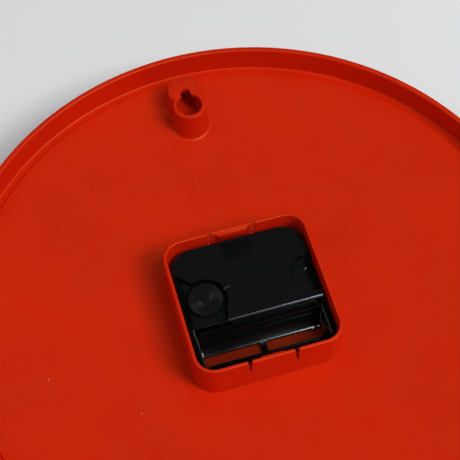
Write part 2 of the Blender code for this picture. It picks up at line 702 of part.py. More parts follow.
def make_contact(name, side, material):
    """Strip with its bay plate at one end of the bay and a long finger up to the circuit board."""
    low_y, high_y = STRIP_FINGER_Y
    outline = [(-20.0, 3.4), (-14.6, 3.4), (-10.6, low_y), (20.2, low_y), (20.2, high_y), (-10.6, high_y),
               (-10.6, 12.4), (-23.8, 12.4), (-23.8, 8.0)]
    return sideways_prism(name, outline, *sorted(side * x for x in STRIP_X), material)


def make_positive_contact(material):
    contact = make_contact("battery_contact_positive", 1, material)
    ring = circle(DIMPLE_R, 16, (CELL_Z, CELL_Y))
    boolean(contact, sideways_prism("dimple", ring, STRIP_X[0] - 0.6, STRIP_X[0] + 0.2), "UNION")


def make_negative_contact(material):
    """The negative end adds a bowed leaf that presses on the cell."""
    contact = make_contact("battery_contact_negative", -1, material)
    inner_r, outer_r = LEAF_R
    leaf = (arc(LEAF_CENTRE, outer_r, -LEAF_ANGLE, LEAF_ANGLE, 10)
            + arc(LEAF_CENTRE, inner_r, LEAF_ANGLE, -LEAF_ANGLE, 10))
    boolean(contact, prism("leaf", leaf, *LEAF_Y), "UNION")


# Wheels

def wheel(name, axis, parts, material, bore=None):
    """Wheel, pinion and arbor in one piece: parts are (outline, y0, y1) about the axis."""
    stack(name, parts, material, bore, (axis[0], 0.0, axis[1]))


def make_wheels(materials):
    """Going train and motion work, each pair in mesh. Gives the phase that the setting pinion needs."""
    arbor = circle(ARBOR_R, 12)
    plastic, brass = materials["natural_plastic"], materials["brass"]

    fifth_phase = mate_phase(ROTOR_TEETH, 0.0, FIFTH_TEETH, ROTOR_AXIS, FIFTH_AXIS)
    second_phase = mate_phase(FIFTH_PINION, 0.0, SECOND_TEETH, FIFTH_AXIS, CENTRE)
    third_phase = mate_phase(SECOND_PINION, 0.0, THIRD_TEETH, CENTRE, THIRD_AXIS)
    centre_phase = mate_phase(THIRD_PINION, 0.0, CENTRE_TEETH, THIRD_AXIS, CENTRE)
    reverse_phase = mate_phase(CANNON_TEETH, 0.0, REVERSE_TEETH, CENTRE, REVERSE_AXIS)
    hour_phase = mate_phase(REVERSE_PINION, 0.0, HOUR_TEETH, REVERSE_AXIS, CENTRE)

    wheel("rotor_pinion", ROTOR_AXIS, [
        (arbor, PIVOT_FRONT_Y, MAGNET_Y[0] - 0.9), (circle(1.3, 14), MAGNET_Y[0] - 0.9, MAGNET_Y[0] - GAP),
        (circle(0.6, 12), MAGNET_Y[0] - GAP, ROTOR_PINION_Y[0]),
        (gear(ROTOR_TEETH, ROTOR_MODULE), *ROTOR_PINION_Y),
        (arbor, ROTOR_PINION_Y[1], PIVOT_BACK_Y)], plastic)
    wheel("fifth_wheel", FIFTH_AXIS, [
        (arbor, PIVOT_FRONT_Y, FIFTH_PINION_Y[0]), (gear(FIFTH_PINION, FIFTH_MODULE), *FIFTH_PINION_Y),
        (gear(FIFTH_TEETH, ROTOR_MODULE, fifth_phase), *FIFTH_WHEEL_Y),
        (arbor, FIFTH_WHEEL_Y[1], PIVOT_BACK_Y)], plastic)
    second_arbor = circle(SECOND_ARBOR_R, 14)
    wheel("second_wheel", CENTRE, [
        (second_arbor, SECOND_ARBOR_FRONT_Y, SECOND_PINION_Y[0]),
        (gear(SECOND_PINION, THIRD_MODULE), *SECOND_PINION_Y),
        (gear(SECOND_TEETH, FIFTH_MODULE, second_phase), *SECOND_WHEEL_Y),
        (second_arbor, SECOND_WHEEL_Y[1], PIVOT_BACK_Y)], plastic)
    wheel("third_wheel", THIRD_AXIS, [
        (arbor, PIVOT_FRONT_Y, THIRD_PINION_Y[0]), (gear(THIRD_PINION, CENTRE_MODULE), *THIRD_PINION_Y),
        (gear(THIRD_TEETH, THIRD_MODULE, third_phase), *THIRD_WHEEL_Y),
        (arbor, THIRD_WHEEL_Y[1], PIVOT_BACK_Y)], plastic)
    wheel("centre_wheel", CENTRE, [(gear(CENTRE_TEETH, CENTRE_MODULE, centre_phase), *CENTRE_WHEEL_Y)],
          brass, circle(CENTRE_BORE_R, 20))
    wheel("cannon_pinion", CENTRE, [
        (circle(CANNON_R[1], 20), CANNON_FRONT_Y, CANNON_PINION_Y[0]),
        (gear(CANNON_TEETH, CANNON_MODULE), *CANNON_PINION_Y),
        (circle(CANNON_SEAT_R, 20), CANNON_PINION_Y[1], CANNON_SEAT_Y)], brass, circle(CANNON_R[0], 16))
    wheel("reverse_wheel", REVERSE_AXIS, [
        (arbor, PIVOT_FRONT_Y, REVERSE_PINION_Y[0]), (gear(REVERSE_PINION, HOUR_MODULE), *REVERSE_PINION_Y),
        (gear(REVERSE_TEETH, CANNON_MODULE, reverse_phase), *REVERSE_WHEEL_Y),
        (arbor, REVERSE_WHEEL_Y[1], PIVOT_BACK_Y)], plastic)
    wheel("hour_wheel", CENTRE, [
        (circle(HOUR_PIPE_R[1], 24), HOUR_PIPE_FRONT_Y, HOUR_WHEEL_Y[0]),
        (gear(HOUR_TEETH, HOUR_MODULE, hour_phase), *HOUR_WHEEL_Y)], plastic, circle(HOUR_PIPE_R[0], 24))
    return reverse_phase


def make_knob(material, reverse_phase):
    """Knob, shaft and setting pinion in one piece."""
    phase = mate_phase(REVERSE_TEETH, reverse_phase, SETTING_TEETH, REVERSE_AXIS, KNOB_AXIS)
    fluted = []
    for k in range(2 * KNOB_FLUTES):
        radius = KNOB_R if k % 2 else KNOB_R - FLUTE_DEPTH
        angle = math.pi * k / KNOB_FLUTES
        fluted.append((radius * math.cos(angle), radius * math.sin(angle)))
    crown = [(x * 0.94, z * 0.94) for x, z in fluted]
    shaft = circle(KNOB_SHAFT_R, 20)
    wheel("setting_knob", KNOB_AXIS, [
        (shaft, PIVOT_FRONT_Y, SETTING_PINION_Y[0]),
        (gear(SETTING_TEETH, CANNON_MODULE, phase), *SETTING_PINION_Y),
        (shaft, SETTING_PINION_Y[1], KNOB_Y[0]), (fluted, KNOB_Y[0], KNOB_Y[1] - 0.5),
        ((fluted, crown), KNOB_Y[1] - 0.5, KNOB_Y[1])], material)


# Motor and circuit

def make_stator(material):
    """Closed magnetic loop: lobe around the rotor, two limbs and the core bar through the coil."""
    x, z = ROTOR_AXIS
    left, right = STATOR_X
    limb_z = 4.4
    foot_z = 12.6
    lobe_start = 180 + math.degrees(math.asin((z - limb_z) / STATOR_LOBE_R))
    outer = [(left, limb_z)] + arc(ROTOR_AXIS, STATOR_LOBE_R, lobe_start, 420, 24)
    outer += [(x + STATOR_LOBE_R / 2, foot_z), (right, foot_z), (right, CORE_Z[1]), (left, CORE_Z[1])]
    inner = [(x - 1.5, foot_z + STATOR_WEB)] + arc(ROTOR_AXIS, STATOR_LOBE_R, 112, 146, 4)
    inner += [(left + STATOR_WEB, limb_z + 4.5), (left + STATOR_WEB, CORE_Z[0])]
    inner += [(right - STATOR_WEB, CORE_Z[0]), (right - STATOR_WEB, foot_z + STATOR_WEB)]
    prism("stator", outer, *STATOR_Y, material, [inner, circle(STATOR_HOLE_R, 24, ROTOR_AXIS)])


def make_magnet(material):
    wheel("rotor_magnet", ROTOR_AXIS, [(circle(MAGNET_R, 24), *MAGNET_Y)], material, circle(0.9, 16))


def frame_loop(margin, y_margin):
    """Rounded rectangle around the core bar in (z, y) points."""
    corner_r = min(margin, y_margin) * 0.6
    z_ends = (CORE_Z[0] - margin, CORE_Z[1] + margin)
    y_ends = (STATOR_Y[0] - y_margin, STATOR_Y[1] + y_margin)
    return rounded_box(*z_ends, *y_ends, corner_r, corner_r, 3)


def make_coil(bobbin_material, wire_material):
    left, right = BOBBIN_X
    past_ends = (left - OVERRUN, right + OVERRUN)
    core = box(CORE_Z[0] - GAP, CORE_Z[1] + GAP, STATOR_Y[0] - GAP, STATOR_Y[1] + GAP)
    bobbin = sideways_prism("coil_bobbin", frame_loop(1.0, 1.0), left, right, bobbin_material)
    for start in (left, right - BOBBIN_FLANGE):
        flange = sideways_prism("flange", frame_loop(2.0, 2.4), start, start + BOBBIN_FLANGE)
        boolean(bobbin, flange, "UNION")
    boolean(bobbin, sideways_prism("core_cut", core, *past_ends), "DIFFERENCE")
    ends = (left + BOBBIN_FLANGE + GAP, right - BOBBIN_FLANGE - GAP)
    winding = sideways_prism("coil_winding", frame_loop(1.9, 2.2), *ends, wire_material)
    tunnel = sideways_prism("winding_cut", frame_loop(1.0 + GAP, 1.0 + GAP), *past_ends)
    boolean(winding, tunnel, "DIFFERENCE")


def make_board(material, crystal_material):
    low_z, high_z = BOARD_Z
    shoulder_z = low_z + 3.0
    outline = [(-BOARD_X, low_z), (BOARD_X, low_z), (BOARD_X, shoulder_z), (BOARD_X - BOARD_CUT, high_z),
               (BOARD_CUT - BOARD_X, high_z), (-BOARD_X, shoulder_z)]
    board = prism("circuit_board", outline, *BOARD_Y, material)
    back_y = BOARD_Y[1]
    foot, top = (circle(radius, 20, CHIP) for radius in (CHIP_R, CHIP_R / 2))
    chip = stack("chip_blob", [(foot, back_y - 0.2, back_y + 0.5),
                               ((foot, top), back_y + 0.5, back_y + 1.2)], None)
    boolean(board, chip, "UNION")
    ring = circle(CRYSTAL_R, 20, (CHIP[1], BOARD_Y[0] - GAP - CRYSTAL_R))
    sideways_prism("quartz_crystal", ring, *CRYSTAL_X, crystal_material)


# Hands

def make_hand(name, blade, hub, angle, material):
    """Tapered blade with a tail and a hub that is bored for its pipe, pointing to a clock angle."""
    length, tail, width, tip_width = blade["length"], blade["tail"], blade["width"], blade["tip_width"]
    shoulder = length - tip_width
    outline = [(-width / 2, -tail), (width / 2, -tail), (width / 2 + 0.3, 0), (tip_width / 2, shoulder),
               (0, length), (-tip_width / 2, shoulder), (-width / 2 - 0.3, 0)]
    hand = prism(name, outline, *blade["y"], material)
    boolean(hand, prism(name + "_hub", circle(hub["r"], 32), *hub["y"]), "UNION")
    bore = prism(name + "_bore", circle(hub["bore_r"], 24), hub["bore_y"], hub["y"][1] + OVERRUN)
    boolean(hand, bore, "DIFFERENCE")
    hand.rotation_euler = (0.0, math.radians(angle), 0.0)


def make_hands(material, second_material):
    make_hand("hour_hand", {"length": HOUR_HAND_LENGTH, "tail": 12.0, "width": 6.0, "tip_width": 4.0,
                            "y": (-8.0, -7.4)},
              {"r": 5.2, "y": (-8.2, -6.6), "bore_r": HOUR_PIPE_R[1] + GAP, "bore_y": -9.2},
              HOUR_HAND_ANGLE, material)
    make_hand("minute_hand", {"length": MINUTE_HAND_LENGTH, "tail": 16.0, "width": 5.0, "tip_width": 3.0,
                              "y": (-10.3, -9.8)},
              {"r": 4.2, "y": (-10.7, -9.2), "bore_r": CANNON_R[1] + GAP, "bore_y": -11.7},
              MINUTE_HAND_ANGLE, material)
    make_hand("second_hand", {"length": SECOND_HAND_LENGTH, "tail": SECOND_TAIL_LENGTH, "width": 2.0,
                              "tip_width": 1.0, "y": (-12.8, -12.4)},
              {"r": 3.2, "y": (-14.1, -11.8), "bore_r": SECOND_ARBOR_R + GAP, "bore_y": -13.3},
              SECOND_HAND_ANGLE, second_material)


def main():
    clear_scene()
    materials = {
        "red_plastic": make_material("red_plastic", RED, 0.38),
        "black_plastic": make_material("black_plastic", BLACK, 0.35),
        "white_card": make_material("white_card", WHITE, 0.6),
        "clear_plastic": make_material("clear_plastic", WHITE, 0.05, alpha=0.25),
        "natural_plastic": make_material("natural_plastic", NATURAL, 0.45),
        "brass": make_material("brass", BRASS, 0.3, 1.0),
        "steel": make_material("steel", STEEL, 0.3, 1.0),
        "board": make_material("board", GREEN, 0.5),
        "copper": make_material("copper", COPPER, 0.35, 1.0),
        "magnet": make_material("magnet", GREY, 0.4, 1.0),
        "hand_black": make_material("hand_black", BLACK, 0.45),
    }
    make_case(materials["red_plastic"])
    make_bezel(materials["red_plastic"])
    make_lens(materials["clear_plastic"])
    make_dial(materials["white_card"])
    make_base(materials["black_plastic"])
    make_cover(materials["black_plastic"])
    make_train_plate(materials["black_plastic"])
    make_positive_contact(materials["steel"])
    make_negative_contact(materials["steel"])
    reverse_phase = make_wheels(materials)
    make_knob(materials["black_plastic"], reverse_phase)
    make_stator(materials["steel"])
    make_magnet(materials["magnet"])
    make_coil(materials["black_plastic"], materials["copper"])
    make_board(materials["board"], materials["steel"])
    make_hands(materials["hand_black"], materials["red_plastic"])


main()
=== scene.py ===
"""Looks of a round wall clock that lies face down, its red case and black quartz movement seen from behind.

The clock keeps its own frame: +Z to 12 o'clock, -Y to the viewer of the dial, +Y to the wall. The table
is therefore a plane across -Y. Lengths are in millimetres and become metres through MM in each mesh.
"""
import math

import bmesh
import bpy
from mathutils import Matrix, Vector


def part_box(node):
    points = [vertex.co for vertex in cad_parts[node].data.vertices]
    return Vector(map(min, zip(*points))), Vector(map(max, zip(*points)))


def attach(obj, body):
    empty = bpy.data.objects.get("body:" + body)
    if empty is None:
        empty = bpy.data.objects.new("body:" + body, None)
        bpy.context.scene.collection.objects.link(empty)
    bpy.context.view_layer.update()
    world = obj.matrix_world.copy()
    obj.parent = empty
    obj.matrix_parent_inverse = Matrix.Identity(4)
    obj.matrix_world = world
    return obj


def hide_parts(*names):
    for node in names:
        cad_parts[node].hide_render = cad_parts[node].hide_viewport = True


MM = 0.001

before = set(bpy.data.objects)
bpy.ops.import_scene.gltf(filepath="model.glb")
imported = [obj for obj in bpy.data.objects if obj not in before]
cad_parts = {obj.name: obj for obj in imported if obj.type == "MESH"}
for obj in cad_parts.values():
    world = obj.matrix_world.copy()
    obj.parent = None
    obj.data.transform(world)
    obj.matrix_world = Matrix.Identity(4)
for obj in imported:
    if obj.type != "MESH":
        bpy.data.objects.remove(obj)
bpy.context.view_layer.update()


def span(node):
    """Lowest and highest corner of a CAD node in millimetres."""
    low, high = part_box(node)
    return low / MM, high / MM


# Main sizes, read from the frame
CASE_LOW, CASE_HIGH = span("case")
BEZEL_LOW, BEZEL_HIGH = span("bezel")
LENS_LOW, LENS_HIGH = span("lens")
DIAL_LOW, DIAL_HIGH = span("dial")
BASE_LOW, BASE_HIGH = span("movement_base")
COVER_LOW, COVER_HIGH = span("movement_cover")
KNOB_LOW, KNOB_HIGH = span("setting_knob")
BACK_Y = CASE_HIGH.y
KNOB_R = (KNOB_HIGH.x - KNOB_LOW.x) / 2
KNOB_X = (KNOB_HIGH.x + KNOB_LOW.x) / 2
KNOB_Z = (KNOB_HIGH.z + KNOB_LOW.z) / 2

# Case: radii from the hands' axis and depths along Y
SEGMENTS = 240
RIM_OUTER_R = CASE_HIGH.x - 1.4
RIM_INNER_R = RIM_OUTER_R - 2.5
PLATE_EDGE_R = RIM_INNER_R - 4.04
PLATE_RISE = 9.24
PLATE_THICK = 2.0
GUTTER_DEPTH = 0.94
CENTRE_HOLE_R = 4.7
SEAM_Y = BEZEL_HIGH.y + 0.3
SPIGOT_R = CASE_HIGH.x - 3.5

# Well around the movement
WELL_HALF = 30.8
WELL_DRAFT = 0.3
WELL_WALL = 1.5
WELL_CORNER_R = 8.7
WELL_TOP_Y = BACK_Y - 0.29
WELL_FILLET = 0.12
# Where the plate inside the well takes its painted shade
WELL_SHADE_INSET = 0.6
WELL_SHADE_Y = (1.6, 2.4)
WELL_SHADE_BLUR = 0.5
TOP_SLOT_X = 9.3
TOP_SLOT = (1.9, 9.0)
BOTTOM_SLOT_X = 9.6
BOTTOM_SLOT = (1.0, 8.0)

# Keyhole hanger boss
HOLE_Z = 95.0
HOLE_R = 5.55
SLOT_HALF = 2.3
SLOT_TOP_Z = 103.9
LOWER_LOBE_R = 7.2
UPPER_LOBE_Z = 103.6
UPPER_LOBE_R = 7.4
BOSS_WALL = 1.5
BOSS_DRAFT = 0.7
BOSS_FILLET = 1.1
LIP_THICK = 2.2
POCKET_FLOOR_Y = 9.2

# Movement
COVER_LOW_Z = COVER_LOW.z
BODY_HALF = BASE_HIGH.x
BODY_WALL = 1.2
BODY_TOP_CORNER_R = 9.0
BODY_LOW_CORNER_R = 5.0
BODY_FRONT_Y = 0.3
FLOOR_Y = 1.6
CHAMBER_LOW_Z = -7.9
BAY_TOP_Z = -9.5
BAY_LOW_Z = -25.0
CELL_Z = -17.3
CELL_Y = 9.3
CRADLE_R = 7.6
CRADLE_RIBS = (-21.5, -22.6)
BAY_LIP_Y = 10.0
WINDOW_Z = (-19.7, -15.0)
WINDOW_X = (1.2, 25.0)
BUSHING_R = 4.0
BUSHING_BORE_R = 3.15
PIVOT_HOLE_R = 0.7
KNOB_HOLE_R = 1.7
PIVOTS = {"rotor_pinion": PIVOT_HOLE_R, "fifth_wheel": PIVOT_HOLE_R, "third_wheel": PIVOT_HOLE_R,
          "reverse_wheel": PIVOT_HOLE_R, "setting_knob": KNOB_HOLE_R}
PIVOT_END_GAP = 0.1
FLUTES = 36
RECESS_R = 9.2
RECESS_FLOOR_Y = (11.0, 12.0)
RECESS_LEFT_X = 12.4
RECESS_TOP_Z = 16.7
SIDE_RECESS_X = -26.3
SIDE_RECESS_Z = 3.6
SIDE_RECESS_R = 8.6
SIDE_BOSS_R = 3.3
SIDE_FLOOR_Y = (11.6, 12.6)
LABEL = (-6.1, 6.1, 17.6, 26.6)
ARROW = ((9.0, 5.2), (5.9, 8.0), (8.4, 8.9), (10.2, 6.4))

# Colours, linear
RED = (0.66, 0.0125, 0.0006)
BLACK = (0.0065, 0.0068, 0.007)
DIAL_WHITE = (0.78, 0.78, 0.76)
INK = (0.012, 0.012, 0.013)
TABLE = (0.91, 0.92, 0.90)
# Painted shade on the plate under the movement, as a share of the red
WELL_FLOOR_SHADE = 0.32


# Outlines: lists of (x, z) points, counter-clockwise

def circle(radius, count, centre=(0.0, 0.0)):
    step = 2 * math.pi / count
    return [(centre[0] + radius * math.cos(k * step), centre[1] + radius * math.sin(k * step))
            for k in range(count)]


def arc(centre, radius, start, end, count):
    angles = [math.radians(start + (end - start) * k / count) for k in range(count + 1)]
    return [(centre[0] + radius * math.cos(a), centre[1] + radius * math.sin(a)) for a in angles]


def box(x0, x1, z0, z1):
    return [(x0, z0), (x1, z0), (x1, z1), (x0, z1)]


def rounded_box(half, radius, count=10):
    points = []
    for quarter, (sx, sz) in enumerate(((1, 1), (-1, 1), (-1, -1), (1, -1))):
        centre = (sx * (half - radius), sz * (half - radius))
        points += arc(centre, radius, 90 * quarter, 90 * quarter + 90, count)
    return points


def keyhole_lobes(lower_r, upper_r, count=24):
    """Figure-of-eight outline around the hanger's two centres."""
    distance = UPPER_LOBE_Z - HOLE_Z
    offset = (distance ** 2 + lower_r ** 2 - upper_r ** 2) / (2 * distance)
    low_angle = math.degrees(math.acos(offset / lower_r))
    high_angle = math.degrees(math.acos((distance - offset) / upper_r))
    lower = arc((0, HOLE_Z), lower_r, 90 + low_angle, 450 - low_angle, 2 * count)
    upper = arc((0, UPPER_LOBE_Z), upper_r, high_angle - 90, 270 - high_angle, 2 * count)
    return lower + upper[1:-1]


def round_corners(points, steps=4):
    """Closed outline whose points may carry a third number, the radius that rounds that corner."""
    rounded = []
    for k, point in enumerate(points):
        corner = Vector(point[:2])
        if len(point) == 2:
            rounded.append(corner)
            continue
        before = (Vector(points[k - 1][:2]) - corner).normalized()
        after = (Vector(points[(k + 1) % len(points)][:2]) - corner).normalized()
        half = before.angle(after) / 2
        start = corner + before * point[2] / math.tan(half)
        end = corner + after * point[2] / math.tan(half)
        for step in range(steps + 1):
            t = step / steps
            rounded.append((1 - t) ** 2 * start + 2 * t * (1 - t) * corner + t ** 2 * end)
    return [(p.x, p.y) for p in rounded]


# Meshes in millimetres

def ring(bm, points, y):
    """Loop of vertices at depth y, which may be a function of a point."""
    depth = y if callable(y) else lambda point: y
    return [bm.verts.new((p[0], depth(p), p[1])) for p in points]


def loft(loops, closed=False):
    """Skin over (outline, depth) loops of equal length, capped at both ends or closed on itself."""
    bm = bmesh.new()
    rings = [ring(bm, outline, y) for outline, y in loops]
    pairs = list(zip(rings, rings[1:]))
    if closed:
        pairs.append((rings[-1], rings[0]))
    else:
        bm.faces.new(rings[0])
        bm.faces.new(rings[-1])
    for first, second in pairs:
        for k in range(len(first)):
            after = (k + 1) % len(first)
            bm.faces.new((first[k], first[after], second[after], second[k]))
    return bm


def prism(outline, y0, y1):
    return loft([(outline, y0), (outline, y1)])


def lathe(profile, segments=SEGMENTS):
    """Solid turned about the Y axis from a closed profile of (radius, y) points."""
    bm = bmesh.new()
    verts = [bm.verts.new((radius, y, 0)) for radius, y in profile]
    edges = [bm.edges.new(pair) for pair in zip(verts, verts[1:])]
    if profile[0][0] > 0:
        edges.append(bm.edges.new((verts[-1], verts[0])))
    bmesh.ops.spin(bm, geom=verts + edges, cent=(0, 0, 0), axis=(0, 1, 0), angle=2 * math.pi,
                   steps=segments, use_merge=True, use_duplicate=False)
    bmesh.ops.remove_doubles(bm, verts=bm.verts, dist=0.0005)
    return bm


def solid(name, bm):
    """Scene object in metres from a closed bmesh in millimetres."""
    bmesh.ops.recalc_face_normals(bm, faces=bm.faces)
    bmesh.ops.scale(bm, vec=(MM, MM, MM), verts=bm.verts)
    mesh = bpy.data.meshes.new(name)
    bm.to_mesh(mesh)
    bm.free()
    item = bpy.data.objects.new(name, mesh)
    bpy.context.collection.objects.link(item)
    return item


def applied(item):
    """Settle an object's modifiers into its mesh."""
    graph = bpy.context.evaluated_depsgraph_get()
    mesh = bpy.data.meshes.new_from_object(item.evaluated_get(graph))
    item.modifiers.clear()
    item.data = mesh
    return item


def boolean(item, bm, operation="DIFFERENCE"):
    tool = solid(item.name + "_tool", bm)
    modifier = item.modifiers.new("boolean", "BOOLEAN")
    modifier.operation = operation
    modifier.solver = "EXACT"
    modifier.object = tool
    applied(item)
    bpy.data.objects.remove(tool, do_unlink=True)


def bevelled(item, width, segments=2, angle=35):
    modifier = item.modifiers.new("bevel", "BEVEL")
    modifier.width = width * MM
    modifier.segments = segments
    modifier.limit_method = "ANGLE"
    modifier.angle_limit = math.radians(angle)
    modifier.harden_normals = False
    return applied(item)


def joined(name, parts):
    """One object from several that touch."""
    bm = bmesh.new()
    for part in parts:
        bm.from_mesh(part.data)
        bpy.data.objects.remove(part, do_unlink=True)
    mesh = bpy.data.meshes.new(name)
    bm.to_mesh(mesh)
    bm.free()
    item = bpy.data.objects.new(name, mesh)
    bpy.context.collection.objects.link(item)
    return item


def dress(item, material, body, stands_for=(), smooth=35):
    """Give a finished piece its shading, material and body, and hide the CAD nodes it stands for."""
    item.data.materials.clear()
    item.data.materials.append(material)
    item.data.shade_smooth()
    item.data.set_sharp_from_angle(angle=math.radians(smooth))
    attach(item, body)
    if stands_for:
        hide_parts(*stands_for)
    return item


# Materials

def new_material(name):
    material = bpy.data.materials.new(name)
    material.use_nodes = True
    tree = material.node_tree
    return material, tree, tree.nodes["Principled BSDF"]


def add(tree, kind, settings=None, **inputs):
    """Node with its settings and inputs; an input may be a value or another node's socket."""
    node = tree.nodes.new("ShaderNode" + kind)
    for key, value in (settings or {}).items():
        setattr(node, key, value)
    for key, value in inputs.items():
        socket = node.inputs[key.replace("_", " ")]
        if isinstance(value, bpy.types.NodeSocket):
            tree.links.new(value, socket)
        else:
            socket.default_value = value
    return node


def noise(tree, where, scale, detail=3.0, roughness=0.55):
    node = add(tree, "TexNoise", Vector=where, Scale=scale, Detail=detail, Roughness=roughness)
    return node.outputs["Fac"]


def ranged(tree, value, low, high, to_low, to_high):
    node = add(tree, "MapRange", {"clamp": True}, Value=value)
    for socket, number in zip(("From Min", "From Max", "To Min", "To Max"), (low, high, to_low, to_high)):
        node.inputs[socket].default_value = number
    return node.outputs["Result"]


def product(tree, first, second):
    node = add(tree, "Math", {"operation": "MULTIPLY"})
    tree.links.new(first, node.inputs[0])
    tree.links.new(second, node.inputs[1])
    return node.outputs[0]


def blended(tree, factor, first, second):
    node = add(tree, "Mix", {"data_type": "RGBA"})
    tree.links.new(factor, node.inputs[0])
    for socket, colour in ((node.inputs[6], first), (node.inputs[7], second)):
        if isinstance(colour, bpy.types.NodeSocket):
            tree.links.new(colour, socket)
        else:
            socket.default_value = (*colour, 1.0)
    return node.outputs[2]


def stretched(tree, where, scale, turn=0.0):
    node = add(tree, "Mapping", Vector=where)
    node.inputs["Scale"].default_value = scale
    node.inputs["Rotation"].default_value = (0.0, turn, 0.0)
    return node.outputs["Vector"]


def shade(colour, factor):
    return tuple(channel * factor for channel in colour)


def inside_well(tree, where):
    """Mask of the painted shade: one on the plate inside the movement's well, zero elsewhere."""
    place = add(tree, "SeparateXYZ", Vector=where).outputs
    edge = (BODY_HALF - WELL_SHADE_INSET) * MM
    mask = ranged(tree, place["Y"], WELL_SHADE_Y[0] * MM, WELL_SHADE_Y[1] * MM, 1.0, 0.0)
    for axis in "XZ":
        reach = add(tree, "Math", {"operation": "ABSOLUTE"}, Value=place[axis]).outputs[0]
        mask = product(tree, mask, ranged(tree, reach, edge, edge + WELL_SHADE_BLUR * MM, 1.0, 0.0))
    return mask


def moulded(name, colour, roughness, specular, mottle=0.05, specks=0.66, bump=0.12, tint=(1.0, 1.0, 1.0),
            edge_gloss=None, painted_well_shade=None):
    """Injection-moulded plastic: faint flow mottling, fine grain, sparse dust and hairline scuffs.

    With edge_gloss, faces that don't look straight to the back take that roughness and full gloss.
    With a given well colour, the plate under the movement takes that colour as a painted shade, standing for
    the movement's shadow.
    """
    material, tree, shader = new_material(name)
    where = add(tree, "TexCoord").outputs["Object"]
    cloud = noise(tree, where, 22.0, 4.0)
    base = blended(tree, ranged(tree, cloud, 0.3, 0.7, 0.0, 1.0),
                   shade(colour, 1 - mottle), shade(colour, 1 + mottle))
    scuff_field = noise(tree, stretched(tree, where, (900.0, 60.0, 35.0), 0.5), 1.0, 2.0)
    scuffs = ranged(tree, scuff_field, 0.7, 0.76, 0.0, 1.0)
    cells = add(tree, "TexVoronoi", Vector=where, Scale=170.0)
    near = ranged(tree, cells.outputs["Distance"], 0.04, 0.08, 1.0, 0.0)
    patch = ranged(tree, noise(tree, where, 63.0, 1.0), specks, specks + 0.04, 0.0, 1.0)
    dusty = tuple(0.75 * channel + 0.16 for channel in colour)
    base = blended(tree, product(tree, near, patch), base, dusty)
    # Painted shade: the plate under the movement is darkened as if in the movement's shadow
    if painted_well_shade is not None:
        base = blended(tree, inside_well(tree, where), base, painted_well_shade)
    tree.links.new(base, shader.inputs["Base Color"])
    gloss = add(tree, "Math", {"operation": "MULTIPLY_ADD"})
    tree.links.new(scuffs, gloss.inputs[0])
    gloss.inputs[1].default_value = 0.5
    tree.links.new(ranged(tree, noise(tree, where, 75.0), 0.3, 0.7, roughness - 0.05, roughness + 0.05),
                   gloss.inputs[2])
    rough = gloss.outputs[0]
    shader.inputs["Specular IOR Level"].default_value = specular
    if edge_gloss is not None:
        facing = add(tree, "SeparateXYZ", Vector=add(tree, "NewGeometry").outputs["Normal"]).outputs["Y"]
        mixed = add(tree, "Mix", {"data_type": "FLOAT"})
        tree.links.new(ranged(tree, facing, 0.95, 0.998, 0.0, 1.0), mixed.inputs[0])
        mixed.inputs[2].default_value = edge_gloss
        tree.links.new(rough, mixed.inputs[3])
        rough = mixed.outputs[0]
        tree.links.new(ranged(tree, facing, 0.95, 0.998, 0.6, specular), shader.inputs["Specular IOR Level"])
    tree.links.new(rough, shader.inputs["Roughness"])
    shader.inputs["Specular Tint"].default_value = (*tint, 1.0)
    grain = add(tree, "Bump", Height=noise(tree, where, 1500.0, 2.0), Strength=bump, Distance=0.00004)
    ripple = add(tree, "Bump", Height=noise(tree, where, 55.0, 2.0), Normal=grain.outputs["Normal"],
                 Strength=0.12, Distance=0.0004)
    tree.links.new(ripple.outputs["Normal"], shader.inputs["Normal"])
    return material


def metal(name, colour, roughness, streaks):
    """Stamped or turned metal with fine streaks along one direction and tarnish."""
    material, tree, shader = new_material(name)
    where = add(tree, "TexCoord").outputs["Object"]
    tarnish = ranged(tree, noise(tree, where, 260.0, 4.0), 0.35, 0.7, 0.0, 1.0)
    tree.links.new(blended(tree, tarnish, colour, shade(colour, 0.72)), shader.inputs["Base Color"])
    lines = noise(tree, stretched(tree, where, streaks), 1.0, 3.0)
    tree.links.new(ranged(tree, lines, 0.3, 0.7, roughness - 0.08, roughness + 0.1),
                   shader.inputs["Roughness"])
    brushed = add(tree, "Bump", Height=lines, Strength=0.25, Distance=0.00002)
    tree.links.new(brushed.outputs["Normal"], shader.inputs["Normal"])
    shader.inputs["Metallic"].default_value = 1.0
    return material


def matt(name, colour, roughness, tint, scale):
    """Matt paint or card with a fine tooth and a slow shift of tint."""
    material, tree, shader = new_material(name)
    where = add(tree, "TexCoord").outputs["Object"]
    slow = ranged(tree, noise(tree, where, 14.0, 3.0), 0.35, 0.65, 0.0, 1.0)
    tree.links.new(blended(tree, slow, colour, tint), shader.inputs["Base Color"])
    fine = noise(tree, where, scale, 4.0)
    tree.links.new(ranged(tree, fine, 0.3, 0.7, roughness - 0.06, roughness + 0.06),
                   shader.inputs["Roughness"])
    tooth = add(tree, "Bump", Height=fine, Strength=0.15, Distance=0.00003)
    tree.links.new(tooth.outputs["Normal"], shader.inputs["Normal"])
    shader.inputs["Specular IOR Level"].default_value = 0.3
    return material


def winding(name):
    """Enamelled wire laid side by side around the bobbin."""
    material, tree, shader = new_material(name)
    where = add(tree, "TexCoord").outputs["Object"]
    turns = add(tree, "TexWave", {"bands_direction": "X"}, Vector=where, Scale=900.0, Distortion=0.6)
    tree.links.new(blended(tree, turns.outputs["Fac"], (0.28, 0.08, 0.02), (0.62, 0.25, 0.09)),
                   shader.inputs["Base Color"])
    rounded = add(tree, "Bump", Height=turns.outputs["Fac"], Strength=0.6, Distance=0.00005)
    tree.links.new(rounded.outputs["Normal"], shader.inputs["Normal"])
    shader.inputs["Metallic"].default_value = 0.8
    shader.inputs["Roughness"].default_value = 0.5
    return material


